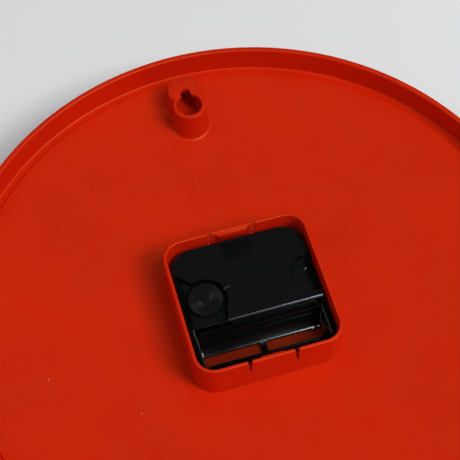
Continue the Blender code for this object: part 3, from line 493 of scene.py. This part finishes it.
def clear(name):
    """Clear moulded lens with faint smears in its gloss, which lets the lamps through to the dial."""
    material, tree, shader = new_material(name)
    where = add(tree, "TexCoord").outputs["Object"]
    smear = ranged(tree, noise(tree, where, 30.0, 4.0), 0.45, 0.75, 0.015, 0.07)
    tree.links.new(smear, shader.inputs["Roughness"])
    shader.inputs["Base Color"].default_value = (0.96, 0.98, 0.97, 1.0)
    shader.inputs["Transmission Weight"].default_value = 1.0
    shader.inputs["IOR"].default_value = 1.49
    open_to_lamps = add(tree, "BsdfTransparent", Color=(0.95, 0.97, 0.96, 1.0))
    choice = add(tree, "MixShader")
    tree.links.new(add(tree, "LightPath").outputs["Is Shadow Ray"], choice.inputs[0])
    tree.links.new(shader.outputs[0], choice.inputs[1])
    tree.links.new(open_to_lamps.outputs[0], choice.inputs[2])
    tree.links.new(choice.outputs[0], tree.nodes["Material Output"].inputs["Surface"])
    return material


def table_top(name):
    """Pale matt table, open from below so that the dial can be seen from its own side."""
    material, tree, shader = new_material(name)
    where = add(tree, "TexCoord").outputs["Object"]
    slow = ranged(tree, noise(tree, where, 3.0, 3.0), 0.3, 0.7, 0.0, 1.0)
    tree.links.new(blended(tree, slow, TABLE, shade(TABLE, 0.97)), shader.inputs["Base Color"])
    shader.inputs["Roughness"].default_value = 0.7
    shader.inputs["Specular IOR Level"].default_value = 0.5
    choice = add(tree, "MixShader")
    tree.links.new(add(tree, "NewGeometry").outputs["Backfacing"], choice.inputs[0])
    tree.links.new(shader.outputs[0], choice.inputs[1])
    tree.links.new(add(tree, "BsdfTransparent").outputs[0], choice.inputs[2])
    tree.links.new(choice.outputs[0], tree.nodes["Material Output"].inputs["Surface"])
    return material


def make_materials():
    return {
        # The red carries a painted shade on the plate under the movement
        "red": moulded("red_moulded", RED, 0.42, 0.4, tint=(1.0, 0.85, 0.25),
                       painted_well_shade=shade(RED, WELL_FLOOR_SHADE)),
        "black": moulded("black_moulded", BLACK, 0.3, 0.35, 0.1, 0.7),
        "black_matt": moulded("black_moulded_matt", shade(BLACK, 0.8), 0.6, 0.07, 0.1, 0.74, edge_gloss=0.2),
        "black_gloss": moulded("black_moulded_gloss", shade(BLACK, 0.5), 0.14, 0.4, 0.1, 0.78, 0.03),
        "knob": moulded("black_moulded_knob", BLACK, 0.42, 0.22, 0.1, 0.7),
        # Four times lighter than the black: a painted highlight on the arrow's facets
        "arrow": moulded("black_moulded_arrow_painted_highlight", shade(BLACK, 4.0), 0.3, 0.5, 0.1, 0.8),
        "label": moulded("lid_patch_texture", shade(BLACK, 0.55), 0.7, 0.05, 0.2, 0.8, 0.3),
        "natural": moulded("natural_acetal", (0.66, 0.63, 0.53), 0.4, 0.4, 0.04, 0.8),
        "steel": metal("nickel_steel", (0.42, 0.41, 0.39), 0.32, (40.0, 900.0, 40.0)),
        "brass": metal("turned_brass", (0.62, 0.43, 0.16), 0.26, (40.0, 1200.0, 40.0)),
        "magnet": metal("sintered_magnet", (0.09, 0.09, 0.1), 0.45, (300.0, 300.0, 300.0)),
        "copper": winding("copper_winding"),
        "board": matt("board_mask", (0.015, 0.12, 0.045), 0.4, (0.02, 0.15, 0.05), 600.0),
        "dial": matt("dial_card", DIAL_WHITE, 0.7, shade(DIAL_WHITE, 0.97), 900.0),
        "ink": matt("dial_ink", INK, 0.55, shade(INK, 1.3), 1200.0),
        "hand_black": matt("hand_paint_black", INK, 0.42, shade(INK, 1.4), 1500.0),
        "hand_red": matt("hand_paint_red", (0.55, 0.02, 0.006), 0.42, (0.5, 0.018, 0.006), 1500.0),
        "lens": clear("clear_lens"),
        "table": table_top("table_top"),
    }


CAD_FINISH = {
    "circuit_board": "board", "coil_winding": "copper",
    "coil_bobbin": "black_matt", "train_plate": "black_matt",
    "stator": "steel", "quartz_crystal": "steel", "battery_contact_positive": "steel",
    "battery_contact_negative": "steel", "rotor_magnet": "magnet", "rotor_pinion": "natural",
    "fifth_wheel": "natural", "second_wheel": "natural",
    "third_wheel": "natural", "reverse_wheel": "natural",
    "hour_wheel": "natural", "centre_wheel": "brass", "cannon_pinion": "brass", "setting_knob": "black",
    "movement_base": "black", "movement_cover": "black_matt",
}


def finish_cad_nodes(materials):
    """Carried-over CAD solids keep their shape and take a detailed material."""
    for name, finish in CAD_FINISH.items():
        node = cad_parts[name]
        for slot in node.material_slots:
            slot.link = "OBJECT"
            slot.material = materials[finish]


# Case

def plate_y(radius):
    """Depth of the gently dished plate's rear face."""
    return PLATE_RISE * (radius / PLATE_EDGE_R) ** 2


def plate_under(point):
    return plate_y(math.hypot(*point))


def case_profile():
    gutter_y = PLATE_RISE - GUTTER_DEPTH
    front_y = gutter_y - PLATE_THICK
    rib = (PLATE_EDGE_R - 4.36, PLATE_EDGE_R - 2.96)
    radii = [46.0 + 6.0 * k for k in range(1, 11)] + [rib[0]]
    points = [(CENTRE_HOLE_R, -PLATE_THICK), (46.0, -PLATE_THICK)]
    points += [(r, plate_y(r) - PLATE_THICK) for r in radii]
    points += [(rib[0], -PLATE_THICK), (rib[1], -PLATE_THICK), (rib[1], plate_y(rib[1]) - PLATE_THICK)]
    points += [(115.6, front_y), (SPIGOT_R - 2.5, front_y), (SPIGOT_R - 2.5, CASE_LOW.y),
               (SPIGOT_R, CASE_LOW.y), (SPIGOT_R, SEAM_Y), (CASE_HIGH.x, SEAM_Y, 0.4)]
    points += [(RIM_OUTER_R, BACK_Y, 0.9), (RIM_INNER_R, BACK_Y, 0.75),
               (RIM_INNER_R - 0.12, gutter_y, 0.9), (PLATE_EDGE_R + 0.5, gutter_y, 0.5),
               (PLATE_EDGE_R, PLATE_RISE, 0.3)]
    points += [(r, plate_y(r)) for r in (112.0 - 4.0 * k for k in range(27))]
    return round_corners(points + [(CENTRE_HOLE_R, 0.0)])


def foot(outline, fillet, steps=5):
    """Loops that sweep a wall out into the dished plate in a concave fillet."""
    loops = [(outline(fillet), lambda p: plate_under(p) - 1.0)]
    for step in range(steps + 1):
        turn = math.radians(90 * step / steps)
        height = fillet * (1 - math.cos(turn))
        loops.append((outline(fillet * (1 - math.sin(turn))), lambda p, h=height: plate_under(p) + h))
    return loops


def well_outline(grow):
    return rounded_box(WELL_HALF + grow, WELL_CORNER_R + grow)


def make_well():
    """Rounded-square wall with a filleted foot, a rounded top edge, slots and two snap hooks."""
    outer = foot(lambda grow: well_outline(WELL_DRAFT + grow), WELL_FILLET)
    top = [(well_outline(0.02), WELL_TOP_Y - 0.55), (well_outline(-0.12), WELL_TOP_Y - 0.2),
           (well_outline(-0.42), WELL_TOP_Y), (well_outline(0.42 - WELL_WALL), WELL_TOP_Y),
           (well_outline(0.12 - WELL_WALL), WELL_TOP_Y - 0.15),
           (well_outline(-WELL_WALL), WELL_TOP_Y - 0.45)]
    well = solid("well", loft(outer + top + [(well_outline(-WELL_WALL), -1.0)], closed=True))
    inner = WELL_HALF - WELL_WALL
    for side in (-1, 1):
        x = side * TOP_SLOT_X
        width, depth = TOP_SLOT
        slot = box(x - width / 2, x + width / 2, inner - 1.0, WELL_HALF + 1.5)
        boolean(well, prism(slot, WELL_TOP_Y - depth, BACK_Y + 1.0))
        boolean(well, flared_slot(side * BOTTOM_SLOT_X))
    top_hook = hook(1, (8.0, 5.6), 1.0, (COVER_HIGH.y + 0.3, WELL_TOP_Y - 1.3))
    bottom_hook = hook(-1, (6.2, 4.2), 1.0, (WELL_TOP_Y - 6.0, WELL_TOP_Y - 1.3))
    return [well, top_hook, bottom_hook]


def flared_slot(centre_x):
    """Narrow slot through the lower wall that widens at its mouth."""
    width, depth = BOTTOM_SLOT
    profile = [(-width / 2, WELL_TOP_Y - depth), (width / 2, WELL_TOP_Y - depth),
               (width / 2, WELL_TOP_Y - 1.6),
               (1.3, WELL_TOP_Y + 0.5), (-1.3, WELL_TOP_Y + 0.5), (-width / 2, WELL_TOP_Y - 1.6)]
    bm = bmesh.new()
    ends = []
    for z in (-WELL_HALF - 1.0, WELL_WALL - WELL_HALF + 1.0):
        ends.append([bm.verts.new((centre_x + x, y, z)) for x, y in profile])
        bm.faces.new(ends[-1])
    for k in range(len(profile)):
        after = (k + 1) % len(profile)
        bm.faces.new((ends[0][k], ends[0][after], ends[1][after], ends[1][k]))
    return bm


def hook(side, halves, reach, depths):
    """Snap wedge on the inner face of the well, wide and high at the wall and lower at its nose."""
    wall_z = side * (WELL_HALF - WELL_WALL + 0.5)
    nose_z = side * (WELL_HALF - WELL_WALL - reach)
    low_y, nose_y = depths
    bm = bmesh.new()
    rings = []
    for half, z, high_y in ((halves[0], wall_z, WELL_TOP_Y - 0.12), (halves[1], nose_z, nose_y)):
        rings.append([bm.verts.new(p) for p in ((-half, low_y, z), (half, low_y, z), (half, high_y, z),
                                                (-half, high_y, z))])
        bm.faces.new(rings[-1])
    for k in range(4):
        after = (k + 1) % 4
        bm.faces.new((rings[0][k], rings[0][after], rings[1][after], rings[1][k]))
    return bevelled(solid("hook", bm), 0.3)


def make_boss():
    """Hanger boss with its keyhole: a round hole and a slot through the lip of a closed pocket."""
    def outline(grow):
        return keyhole_lobes(LOWER_LOBE_R + grow, UPPER_LOBE_R + grow)
    loops = foot(lambda grow: outline(BOSS_DRAFT + grow), BOSS_FILLET)
    loops += [(outline(0.05), BACK_Y - 0.9), (outline(-0.02), BACK_Y - 0.45), (outline(-0.2), BACK_Y - 0.12),
              (outline(-0.5), BACK_Y)]
    boss = solid("boss", loft(loops))
    slot = [(-SLOT_HALF, HOLE_Z), (SLOT_HALF, HOLE_Z)]
    slot += arc((0, SLOT_TOP_Z - SLOT_HALF), SLOT_HALF, 0, 180, 16)
    boolean(boss, prism(keyhole_lobes(HOLE_R, UPPER_LOBE_R - BOSS_WALL), POCKET_FLOOR_Y, BACK_Y - LIP_THICK))
    boolean(boss, prism(circle(HOLE_R, 64, (0, HOLE_Z)), POCKET_FLOOR_Y + 1.0, BACK_Y + 1.0))
    boolean(boss, prism(slot, POCKET_FLOOR_Y + 1.0, BACK_Y + 1.0))
    return bevelled(boss, 0.22)


def make_case(material):
    plate = solid("plate", lathe(case_profile()))
    boolean(plate, prism(well_outline(-WELL_WALL / 2), 0.0, 12.0))
    case = joined("case_shell", [plate, *make_well(), make_boss()])
    dress(case, material, "housing", ["case"])


def make_bezel(material):
    seam_y = BEZEL_HIGH.y
    lip_r = 113.2
    lens_r = LENS_HIGH.x + 0.4
    spigot_r = SPIGOT_R + 0.3
    profile = [(spigot_r, seam_y), (CASE_HIGH.x + 0.05, seam_y, 0.3), (BEZEL_HIGH.x, -8.5, 3.0),
               (124.4, -14.0, 3.0), (122.6, -18.2, 2.0),
               (119.4, BEZEL_LOW.y, 1.2), (116.4, BEZEL_LOW.y + 0.3, 1.0),
               (lip_r, -17.6, 0.3), (lip_r, -16.6), (lens_r, -16.6), (lens_r, CASE_LOW.y - 0.3),
               (spigot_r, CASE_LOW.y - 0.3)]
    ring_item = solid("bezel_ring", lathe(round_corners(profile, 6)))
    dress(ring_item, material, "housing", ["bezel"])


def make_lens(material):
    profile = [(0.0, LENS_LOW.y), (LENS_HIGH.x, LENS_LOW.y, 0.4), (LENS_HIGH.x, LENS_HIGH.y, 0.4),
               (0.0, LENS_HIGH.y)]
    dress(solid("lens_disc", lathe(round_corners(profile))), material, "housing", ["lens"])


# Dial

def make_dial(material, ink):
    profile = [(CENTRE_HOLE_R, DIAL_LOW.y), (DIAL_HIGH.x, DIAL_LOW.y), (DIAL_HIGH.x, DIAL_HIGH.y),
               (CENTRE_HOLE_R, DIAL_HIGH.y)]
    dress(solid("dial_disc", lathe(profile)), material, "housing", ["dial"])
    print_y = DIAL_LOW.y - 0.06
    marks = []
    for minute in range(60):
        hour_mark = minute % 5 == 0
        half, start = (0.9, 98.0) if hour_mark else (0.35, 101.5)
        bm = prism(box(-half, half, start, 106.0), print_y, DIAL_LOW.y)
        turn = Matrix.Rotation(math.radians(6 * minute), 3, "Y")
        bmesh.ops.rotate(bm, verts=bm.verts, cent=(0, 0, 0), matrix=turn)
        marks.append(solid("mark", bm))
    marks += [numeral(hour) for hour in range(1, 13)]
    dress(joined("dial_print", marks), ink, "housing")


def numeral(hour, radius=85.0, height=20.0):
    """Upright hour numeral, a thin raised print on the dial."""
    text = bpy.data.curves.new("numeral", "FONT")
    text.body = str(hour)
    text.size = height * MM
    text.align_x = "CENTER"
    text.align_y = "CENTER"
    text.extrude = 0.03 * MM
    text.offset = 0.25 * MM
    shape = bpy.data.objects.new("numeral", text)
    angle = math.radians(30 * hour)
    shape.rotation_euler = (math.pi / 2, 0.0, 0.0)
    shape.location = Vector((radius * math.sin(angle), DIAL_LOW.y - 0.03, radius * math.cos(angle))) * MM
    bpy.context.collection.objects.link(shape)
    bpy.context.view_layer.update()
    mesh = bpy.data.meshes.new_from_object(shape.evaluated_get(bpy.context.evaluated_depsgraph_get()))
    mesh.transform(shape.matrix_world)
    bpy.data.objects.remove(shape, do_unlink=True)
    item = bpy.data.objects.new("numeral", mesh)
    bpy.context.collection.objects.link(item)
    return item


HANDS = {
    "hour_hand": {"body": "hour", "angle": 305, "length": 58.0, "tail": 12.0, "width": 6.0, "tip": 4.0,
                  "blade_y": (-8.0, -7.4), "hub_r": 5.2, "hub_y": (-8.2, -6.6), "bore_r": 3.1,
                  "slot": "hand_black"},
    "minute_hand": {"body": "minute", "angle": 60, "length": 86.0, "tail": 16.0, "width": 5.0, "tip": 3.0,
                    "blade_y": (-10.3, -9.8), "hub_r": 4.2, "hub_y": (-10.7, -9.2), "bore_r": 2.05,
                    "slot": "hand_black"},
    "second_hand": {"body": "seconds", "angle": 210, "length": 92.0, "tail": 24.0, "width": 2.0, "tip": 1.0,
                    "blade_y": (-12.8, -12.4), "hub_r": 3.2, "hub_y": (-14.1, -11.8), "bore_r": 0.0,
                    "slot": "hand_red"},
}


def make_hand(node, hand, material):
    """Tapered blade with softened edges and a domed hub, turned to its clock angle."""
    length, tail, width, tip = hand["length"], hand["tail"], hand["width"], hand["tip"]
    outline = [(-width / 2, -tail), (width / 2, -tail), (width / 2 + 0.3, 0), (tip / 2, length - tip),
               (0, length), (-tip / 2, length - tip), (-width / 2 - 0.3, 0)]
    blade = bevelled(solid("blade", prism(outline, *hand["blade_y"])), 0.12)
    front_y, back_y = hand["hub_y"]
    hub_r = hand["hub_r"]
    inner = hand["bore_r"]
    if inner > 0:
        boolean(blade, prism(circle(inner, 64), front_y - 1.0, back_y + 1.0))
    profile = [(inner, front_y), (hub_r, front_y, 0.35), (hub_r, back_y, 0.35), (inner, back_y)]
    hub = solid("hub", lathe(round_corners(profile), 64))
    item = joined(node + "_piece", [blade, hub])
    item.data.transform(Matrix.Rotation(math.radians(hand["angle"]), 4, "Y"))
    dress(item, material, hand["body"], [node])


# Movement

def make_knob_cap(material):
    """Cap of the setting knob: a fluted rim and a face with fine radial flutes around a plain centre."""
    radius = KNOB_R + 0.06
    top_y = KNOB_HIGH.y + 0.12
    low_y = top_y - 2.3
    per_flute = 8
    count = FLUTES * per_flute

    def wave(k):
        return 0.5 - 0.5 * math.cos(2 * math.pi * k / per_flute)

    def face_loop(r, depth):
        loop = circle(r, count)
        return [(x, top_y - depth * wave(k), z) for k, (x, z) in enumerate(loop)]

    def rim_loop(y, shrink, flute):
        points = []
        for k in range(count):
            r = radius - shrink - flute * wave(k)
            angle = 2 * math.pi * k / count
            points.append((r * math.cos(angle), y, r * math.sin(angle)))
        return points

    loops = [rim_loop(low_y, 0.0, 0.4), rim_loop(top_y - 0.55, 0.0, 0.4), rim_loop(top_y - 0.2, 0.12, 0.4)]
    loops += [face_loop(radius - 0.75, 0.4), face_loop(radius * 0.66, 0.34), face_loop(radius * 0.42, 0.18),
              face_loop(radius * 0.31, 0.05)]
    loops += [[(x, top_y, z) for x, z in circle(radius * 0.27, count)],
              [(x, top_y + 0.06, z) for x, z in circle(radius * 0.12, count)]]
    bm = bmesh.new()
    rings = [[bm.verts.new((x + KNOB_X, y, z + KNOB_Z)) for x, y, z in loop] for loop in loops]
    for first, second in zip(rings, rings[1:]):
        for k in range(count):
            after = (k + 1) % count
            bm.faces.new((first[k], first[after], second[after], second[k]))
    bm.faces.new(rings[0])
    bm.faces.new(rings[-1])
    dress(solid("setting_knob_cap", bm), material, "knob", smooth=50)


def body_outline(inset=0.0, low_z=-BODY_HALF, low_r=BODY_LOW_CORNER_R):
    """Square with two generous corners at 12 o'clock and two tighter ones at the battery end."""
    half = BODY_HALF - inset
    low_r = max(low_r - inset, 0.3)
    top_r = BODY_TOP_CORNER_R - inset
    corners = ((half - top_r, half - top_r, top_r, 0), (top_r - half, half - top_r, top_r, 90),
               (low_r - half, low_z + inset + low_r, low_r, 180),
               (half - low_r, low_z + inset + low_r, low_r, 270))
    points = []
    for x, z, radius, start in corners:
        points += arc((x, z), radius, start, start + 90, 12)
    return points


def sideways(outline, x0, x1):
    """Prism along X from an outline of (z, y) points."""
    bm = bmesh.new()
    rings = [[bm.verts.new((x, y, z)) for z, y in outline] for x in (x0, x1)]
    for loop in rings:
        bm.faces.new(loop)
    for k in range(len(outline)):
        after = (k + 1) % len(outline)
        bm.faces.new((rings[0][k], rings[0][after], rings[1][after], rings[1][k]))
    return bm


def make_base(material):
    """Tub of the movement: a battery bay with a glossy cradle and two windows, and holes for the pivots."""
    inner = BODY_HALF - BODY_WALL
    top_y = BASE_HIGH.y
    base = solid("movement_tub", prism(body_outline(), BODY_FRONT_Y, top_y))
    chamber = box(-inner + 1.0, inner - 1.0, CHAMBER_LOW_Z, inner - 8.0)
    boolean(base, prism(chamber, FLOOR_Y, BACK_Y))
    boolean(base, sideways(circle(CRADLE_R, 128, (CELL_Z, CELL_Y)), -inner, inner))
    boolean(base, prism(box(-inner, inner, BAY_LOW_Z, BAY_TOP_Z), CELL_Y, BACK_Y))
    boolean(base, prism(box(2.0 - inner, inner - 2.0, -BODY_HALF - 1.0, BAY_LOW_Z + 1.0), BAY_LIP_Y, BACK_Y))
    for side in (-1, 1):
        window = box(*sorted(side * x for x in WINDOW_X), *WINDOW_Z)
        boolean(base, prism(window, BODY_FRONT_Y - 1.0, FLOOR_Y + 2.0))
        slot = box(*sorted((side * 24.8, side * inner)), BAY_TOP_Z - 1.0, CHAMBER_LOW_Z + 1.0)
        boolean(base, prism(slot, 9.6, BACK_Y))
    boolean(base, prism(box(11.0, inner, BAY_TOP_Z - 1.0, CHAMBER_LOW_Z + 1.0), 10.7, BACK_Y))
    bevelled(base, 0.16)
    bushing = lathe(round_corners([(BUSHING_BORE_R, BASE_LOW.y), (BUSHING_R, BASE_LOW.y, 0.4),
                                   (BUSHING_R, BODY_FRONT_Y + 0.3),
                                   (BUSHING_BORE_R, BODY_FRONT_Y + 0.3)]), 96)
    boolean(base, prism(circle(BUSHING_BORE_R, 48), BODY_FRONT_Y - 1.0, FLOOR_Y + 1.0))
    for node, radius in PIVOTS.items():
        low, high = span(node)
        axis = ((low.x + high.x) / 2, (low.z + high.z) / 2)
        boolean(base, prism(circle(radius, 24, axis), low.y - PIVOT_END_GAP, FLOOR_Y + 1.0))
    ribs = [solid("rib", sideways(cradle_ring(), x, x + 0.45)) for x in CRADLE_RIBS]
    dress(joined("movement_tub", [base, solid("bushing", bushing), *ribs]), material, "housing",
          ["movement_base"], smooth=15)


def cradle_ring():
    """Low raised ring on the cradle's upper flank near the positive end."""
    outer = arc((CELL_Z, CELL_Y), CRADLE_R + 0.1, -75, -20, 16)
    inner = arc((CELL_Z, CELL_Y), CRADLE_R - 0.22, -20, -75, 16)
    return outer + inner


def knob_opening():
    """Outline of the sunken region around the knob, run past the cover's lower edge and its side."""
    beyond = BODY_HALF + 1.0
    low_z = COVER_LOW_Z - 1.0
    return [(RECESS_LEFT_X, low_z), (beyond, low_z), (beyond, RECESS_TOP_Z + 0.6),
            (BODY_HALF - 1.5, RECESS_TOP_Z)] + arc((KNOB_X, KNOB_Z), RECESS_R, 68, 210, 40)


def side_opening():
    return circle(SIDE_RECESS_R, 96, (SIDE_RECESS_X, SIDE_RECESS_Z))


def make_cover(material, label_material, ridge_highlight_material):
    """Cover with soft edges, a sunken region around the knob, a round side recess and a moulded arrow."""
    top_y = COVER_HIGH.y
    plate_y0 = top_y - 1.5
    soft_edge = ((0.0, plate_y0), (0.0, top_y - 0.45), (0.08, top_y - 0.22),
                 (0.22, top_y - 0.08), (0.45, top_y))
    loops = [(body_outline(inset, COVER_LOW_Z, 0.6), y) for inset, y in soft_edge]
    cover = solid("movement_lid", loft(loops))
    above = top_y + 1.0
    boss_well = circle(SIDE_BOSS_R, 48, (SIDE_RECESS_X + 0.6, SIDE_RECESS_Z))
    boolean(cover, prism(knob_opening(), plate_y0 - 1.0, above))
    boolean(cover, prism(side_opening(), plate_y0 - 1.0, above))
    boolean(cover, sideways([(COVER_LOW_Z - 1.0, top_y - 0.68), (COVER_LOW_Z + 0.75, top_y),
                             (COVER_LOW_Z + 0.75, above), (COVER_LOW_Z - 1.0, above)],
                            -BODY_HALF - 1, BODY_HALF + 1))
    boolean(cover, prism(ARROW, top_y - 0.6, above))
    boolean(cover, prism(box(*LABEL), top_y - 0.12, above))
    bevelled(cover, 0.14)
    floor = body_outline(BODY_WALL + 0.3, COVER_LOW_Z, 0.6)
    sunk = solid("sunk_floor", prism(floor, RECESS_FLOOR_Y[0], RECESS_FLOOR_Y[1]))
    boolean(sunk, prism(knob_opening(), RECESS_FLOOR_Y[0] - 1.0, above), "INTERSECT")
    boolean(sunk, prism(circle(1.7, 32, (KNOB_X, KNOB_Z)), RECESS_FLOOR_Y[0] - 1.0, above))
    side_floor = solid("side_floor", prism(floor, SIDE_FLOOR_Y[0], SIDE_FLOOR_Y[1]))
    boolean(side_floor, prism(side_opening(), SIDE_FLOOR_Y[0] - 1.0, above), "INTERSECT")
    boolean(side_floor, prism(boss_well, SIDE_FLOOR_Y[0] + 0.4, above))
    sunk, side_floor = bevelled(sunk, 0.12), bevelled(side_floor, 0.12)
    dress(joined("movement_lid", [cover, sunk, side_floor]), material, "housing",
          ["movement_cover"], smooth=18)
    patch = bevelled(solid("lid_patch", prism(box(*LABEL), top_y - 0.2, top_y - 0.1)), 0.02)
    dress(patch, label_material, "housing")
    # The arrow's ridges carry a painted highlight in their lighter grey
    dress(arrow_ridges(top_y), ridge_highlight_material, "housing")


def arrow_ridges(top_y):
    """Two small facets in the arrow's notch; their lighter grey is a painted highlight."""
    ridges = []
    for k in range(2):
        outline = [(x * 0.42 + 4.35 + 1.5 * k, z * 0.42 + 4.1 - 0.5 * k) for x, z in ARROW]
        ridges.append(bevelled(solid("ridge", prism(outline, top_y - 0.62, top_y - 0.06)), 0.1))
    return joined("lid_arrow", ridges)


# Stage, light and camera

TARGET = Vector((-2.22, 0.0, 40.37)) * MM
TILT = math.radians(30.08)
SWING = math.radians(-14.21)
ROLL = math.radians(18.6)
DISTANCE = 541.8 * MM
FOCAL_LENGTH = 98.5


def camera_axes():
    """Unit vectors to the camera, to the image's right and to its top."""
    back = Vector((-math.sin(SWING) * math.sin(TILT), math.cos(TILT), -math.cos(SWING) * math.sin(TILT)))
    level = Vector((0, 0, 1)).cross(back).normalized()
    down = level.cross(back)
    right = math.cos(ROLL) * level + math.sin(ROLL) * down
    return back, right, back.cross(right)


def make_camera():
    back, right, up = camera_axes()
    data = bpy.data.cameras.new("camera")
    data.lens = FOCAL_LENGTH
    data.sensor_width = 36.0
    data.clip_start = 0.01
    camera = bpy.data.objects.new("camera", data)
    place = Matrix((right, up, back)).transposed().to_4x4()
    place.translation = TARGET + back * DISTANCE
    camera.matrix_world = place
    bpy.context.collection.objects.link(camera)
    bpy.context.scene.camera = camera


def lamp(name, direction, distance, size, watts, colour=(1.0, 1.0, 1.0)):
    """Square soft lamp that shines at the clock from a direction."""
    data = bpy.data.lights.new(name, "AREA")
    data.size = size
    data.energy = watts
    data.color = colour
    item = bpy.data.objects.new(name, data)
    direction = direction.normalized()
    item.location = TARGET + direction * distance
    item.rotation_euler = (-direction).to_track_quat("-Z", "Y").to_euler()
    bpy.context.collection.objects.link(item)
    return item


def slanted(angle, elevation):
    """Direction from the table: the angle turns from the image's right towards its top."""
    angle, elevation = math.radians(angle), math.radians(elevation)
    _, right, up = camera_axes()
    flat_right = Vector((right.x, 0, right.z)).normalized()
    flat_up = Vector((up.x, 0, up.z)).normalized()
    level = (math.cos(angle) * flat_right + math.sin(angle) * flat_up).normalized()
    return math.cos(elevation) * level + Vector((0, math.sin(elevation), 0))


def make_lights():
    lamp("key", slanted(-29, 51), 2.2, 0.7, 24.5, (1.0, 0.985, 0.96))
    lamp("left_fill", slanted(190, 46), 2.2, 0.6, 3.0)
    lamp("overhead", Vector((-0.23, 0.946, -0.25)), 1.3, 0.2, 3.2, (0.72, 0.87, 1.0))
    lamp("front_fill", Vector((0.25, -1.0, 0.35)), 1.4, 1.0, 9.0)
    world = bpy.data.worlds.new("studio")
    world.use_nodes = True
    world.node_tree.nodes["Background"].inputs["Color"].default_value = (1.0, 1.0, 1.0, 1.0)
    world.node_tree.nodes["Background"].inputs["Strength"].default_value = 0.27
    world.cycles_visibility.glossy = False
    bpy.context.scene.world = world
    bpy.context.scene.view_settings.view_transform = "Standard"


def make_table(material):
    bm = bmesh.new()
    half = 1500.0
    y = BEZEL_LOW.y - 0.1
    bm.faces.new([bm.verts.new((x, y, z)) for x, z in box(-half, half, -half, half)][::-1])
    bmesh.ops.scale(bm, vec=(MM, MM, MM), verts=bm.verts)
    mesh = bpy.data.meshes.new("table")
    bm.to_mesh(mesh)
    bm.free()
    table = bpy.data.objects.new("table", mesh)
    bpy.context.collection.objects.link(table)
    mesh.materials.append(material)
    table.visible_shadow = False
    table.visible_diffuse = False
    table.visible_glossy = False


def main():
    materials = make_materials()
    finish_cad_nodes(materials)
    make_case(materials["red"])
    make_bezel(materials["red"])
    make_lens(materials["lens"])
    make_dial(materials["dial"], materials["ink"])
    for node, hand in HANDS.items():
        make_hand(node, hand, materials[hand["slot"]])
    make_base(materials["black_gloss"])
    make_cover(materials["black_matt"], materials["label"], materials["arrow"])
    make_knob_cap(materials["knob"])
    make_table(materials["table"])
    make_lights()
    make_camera()


main()
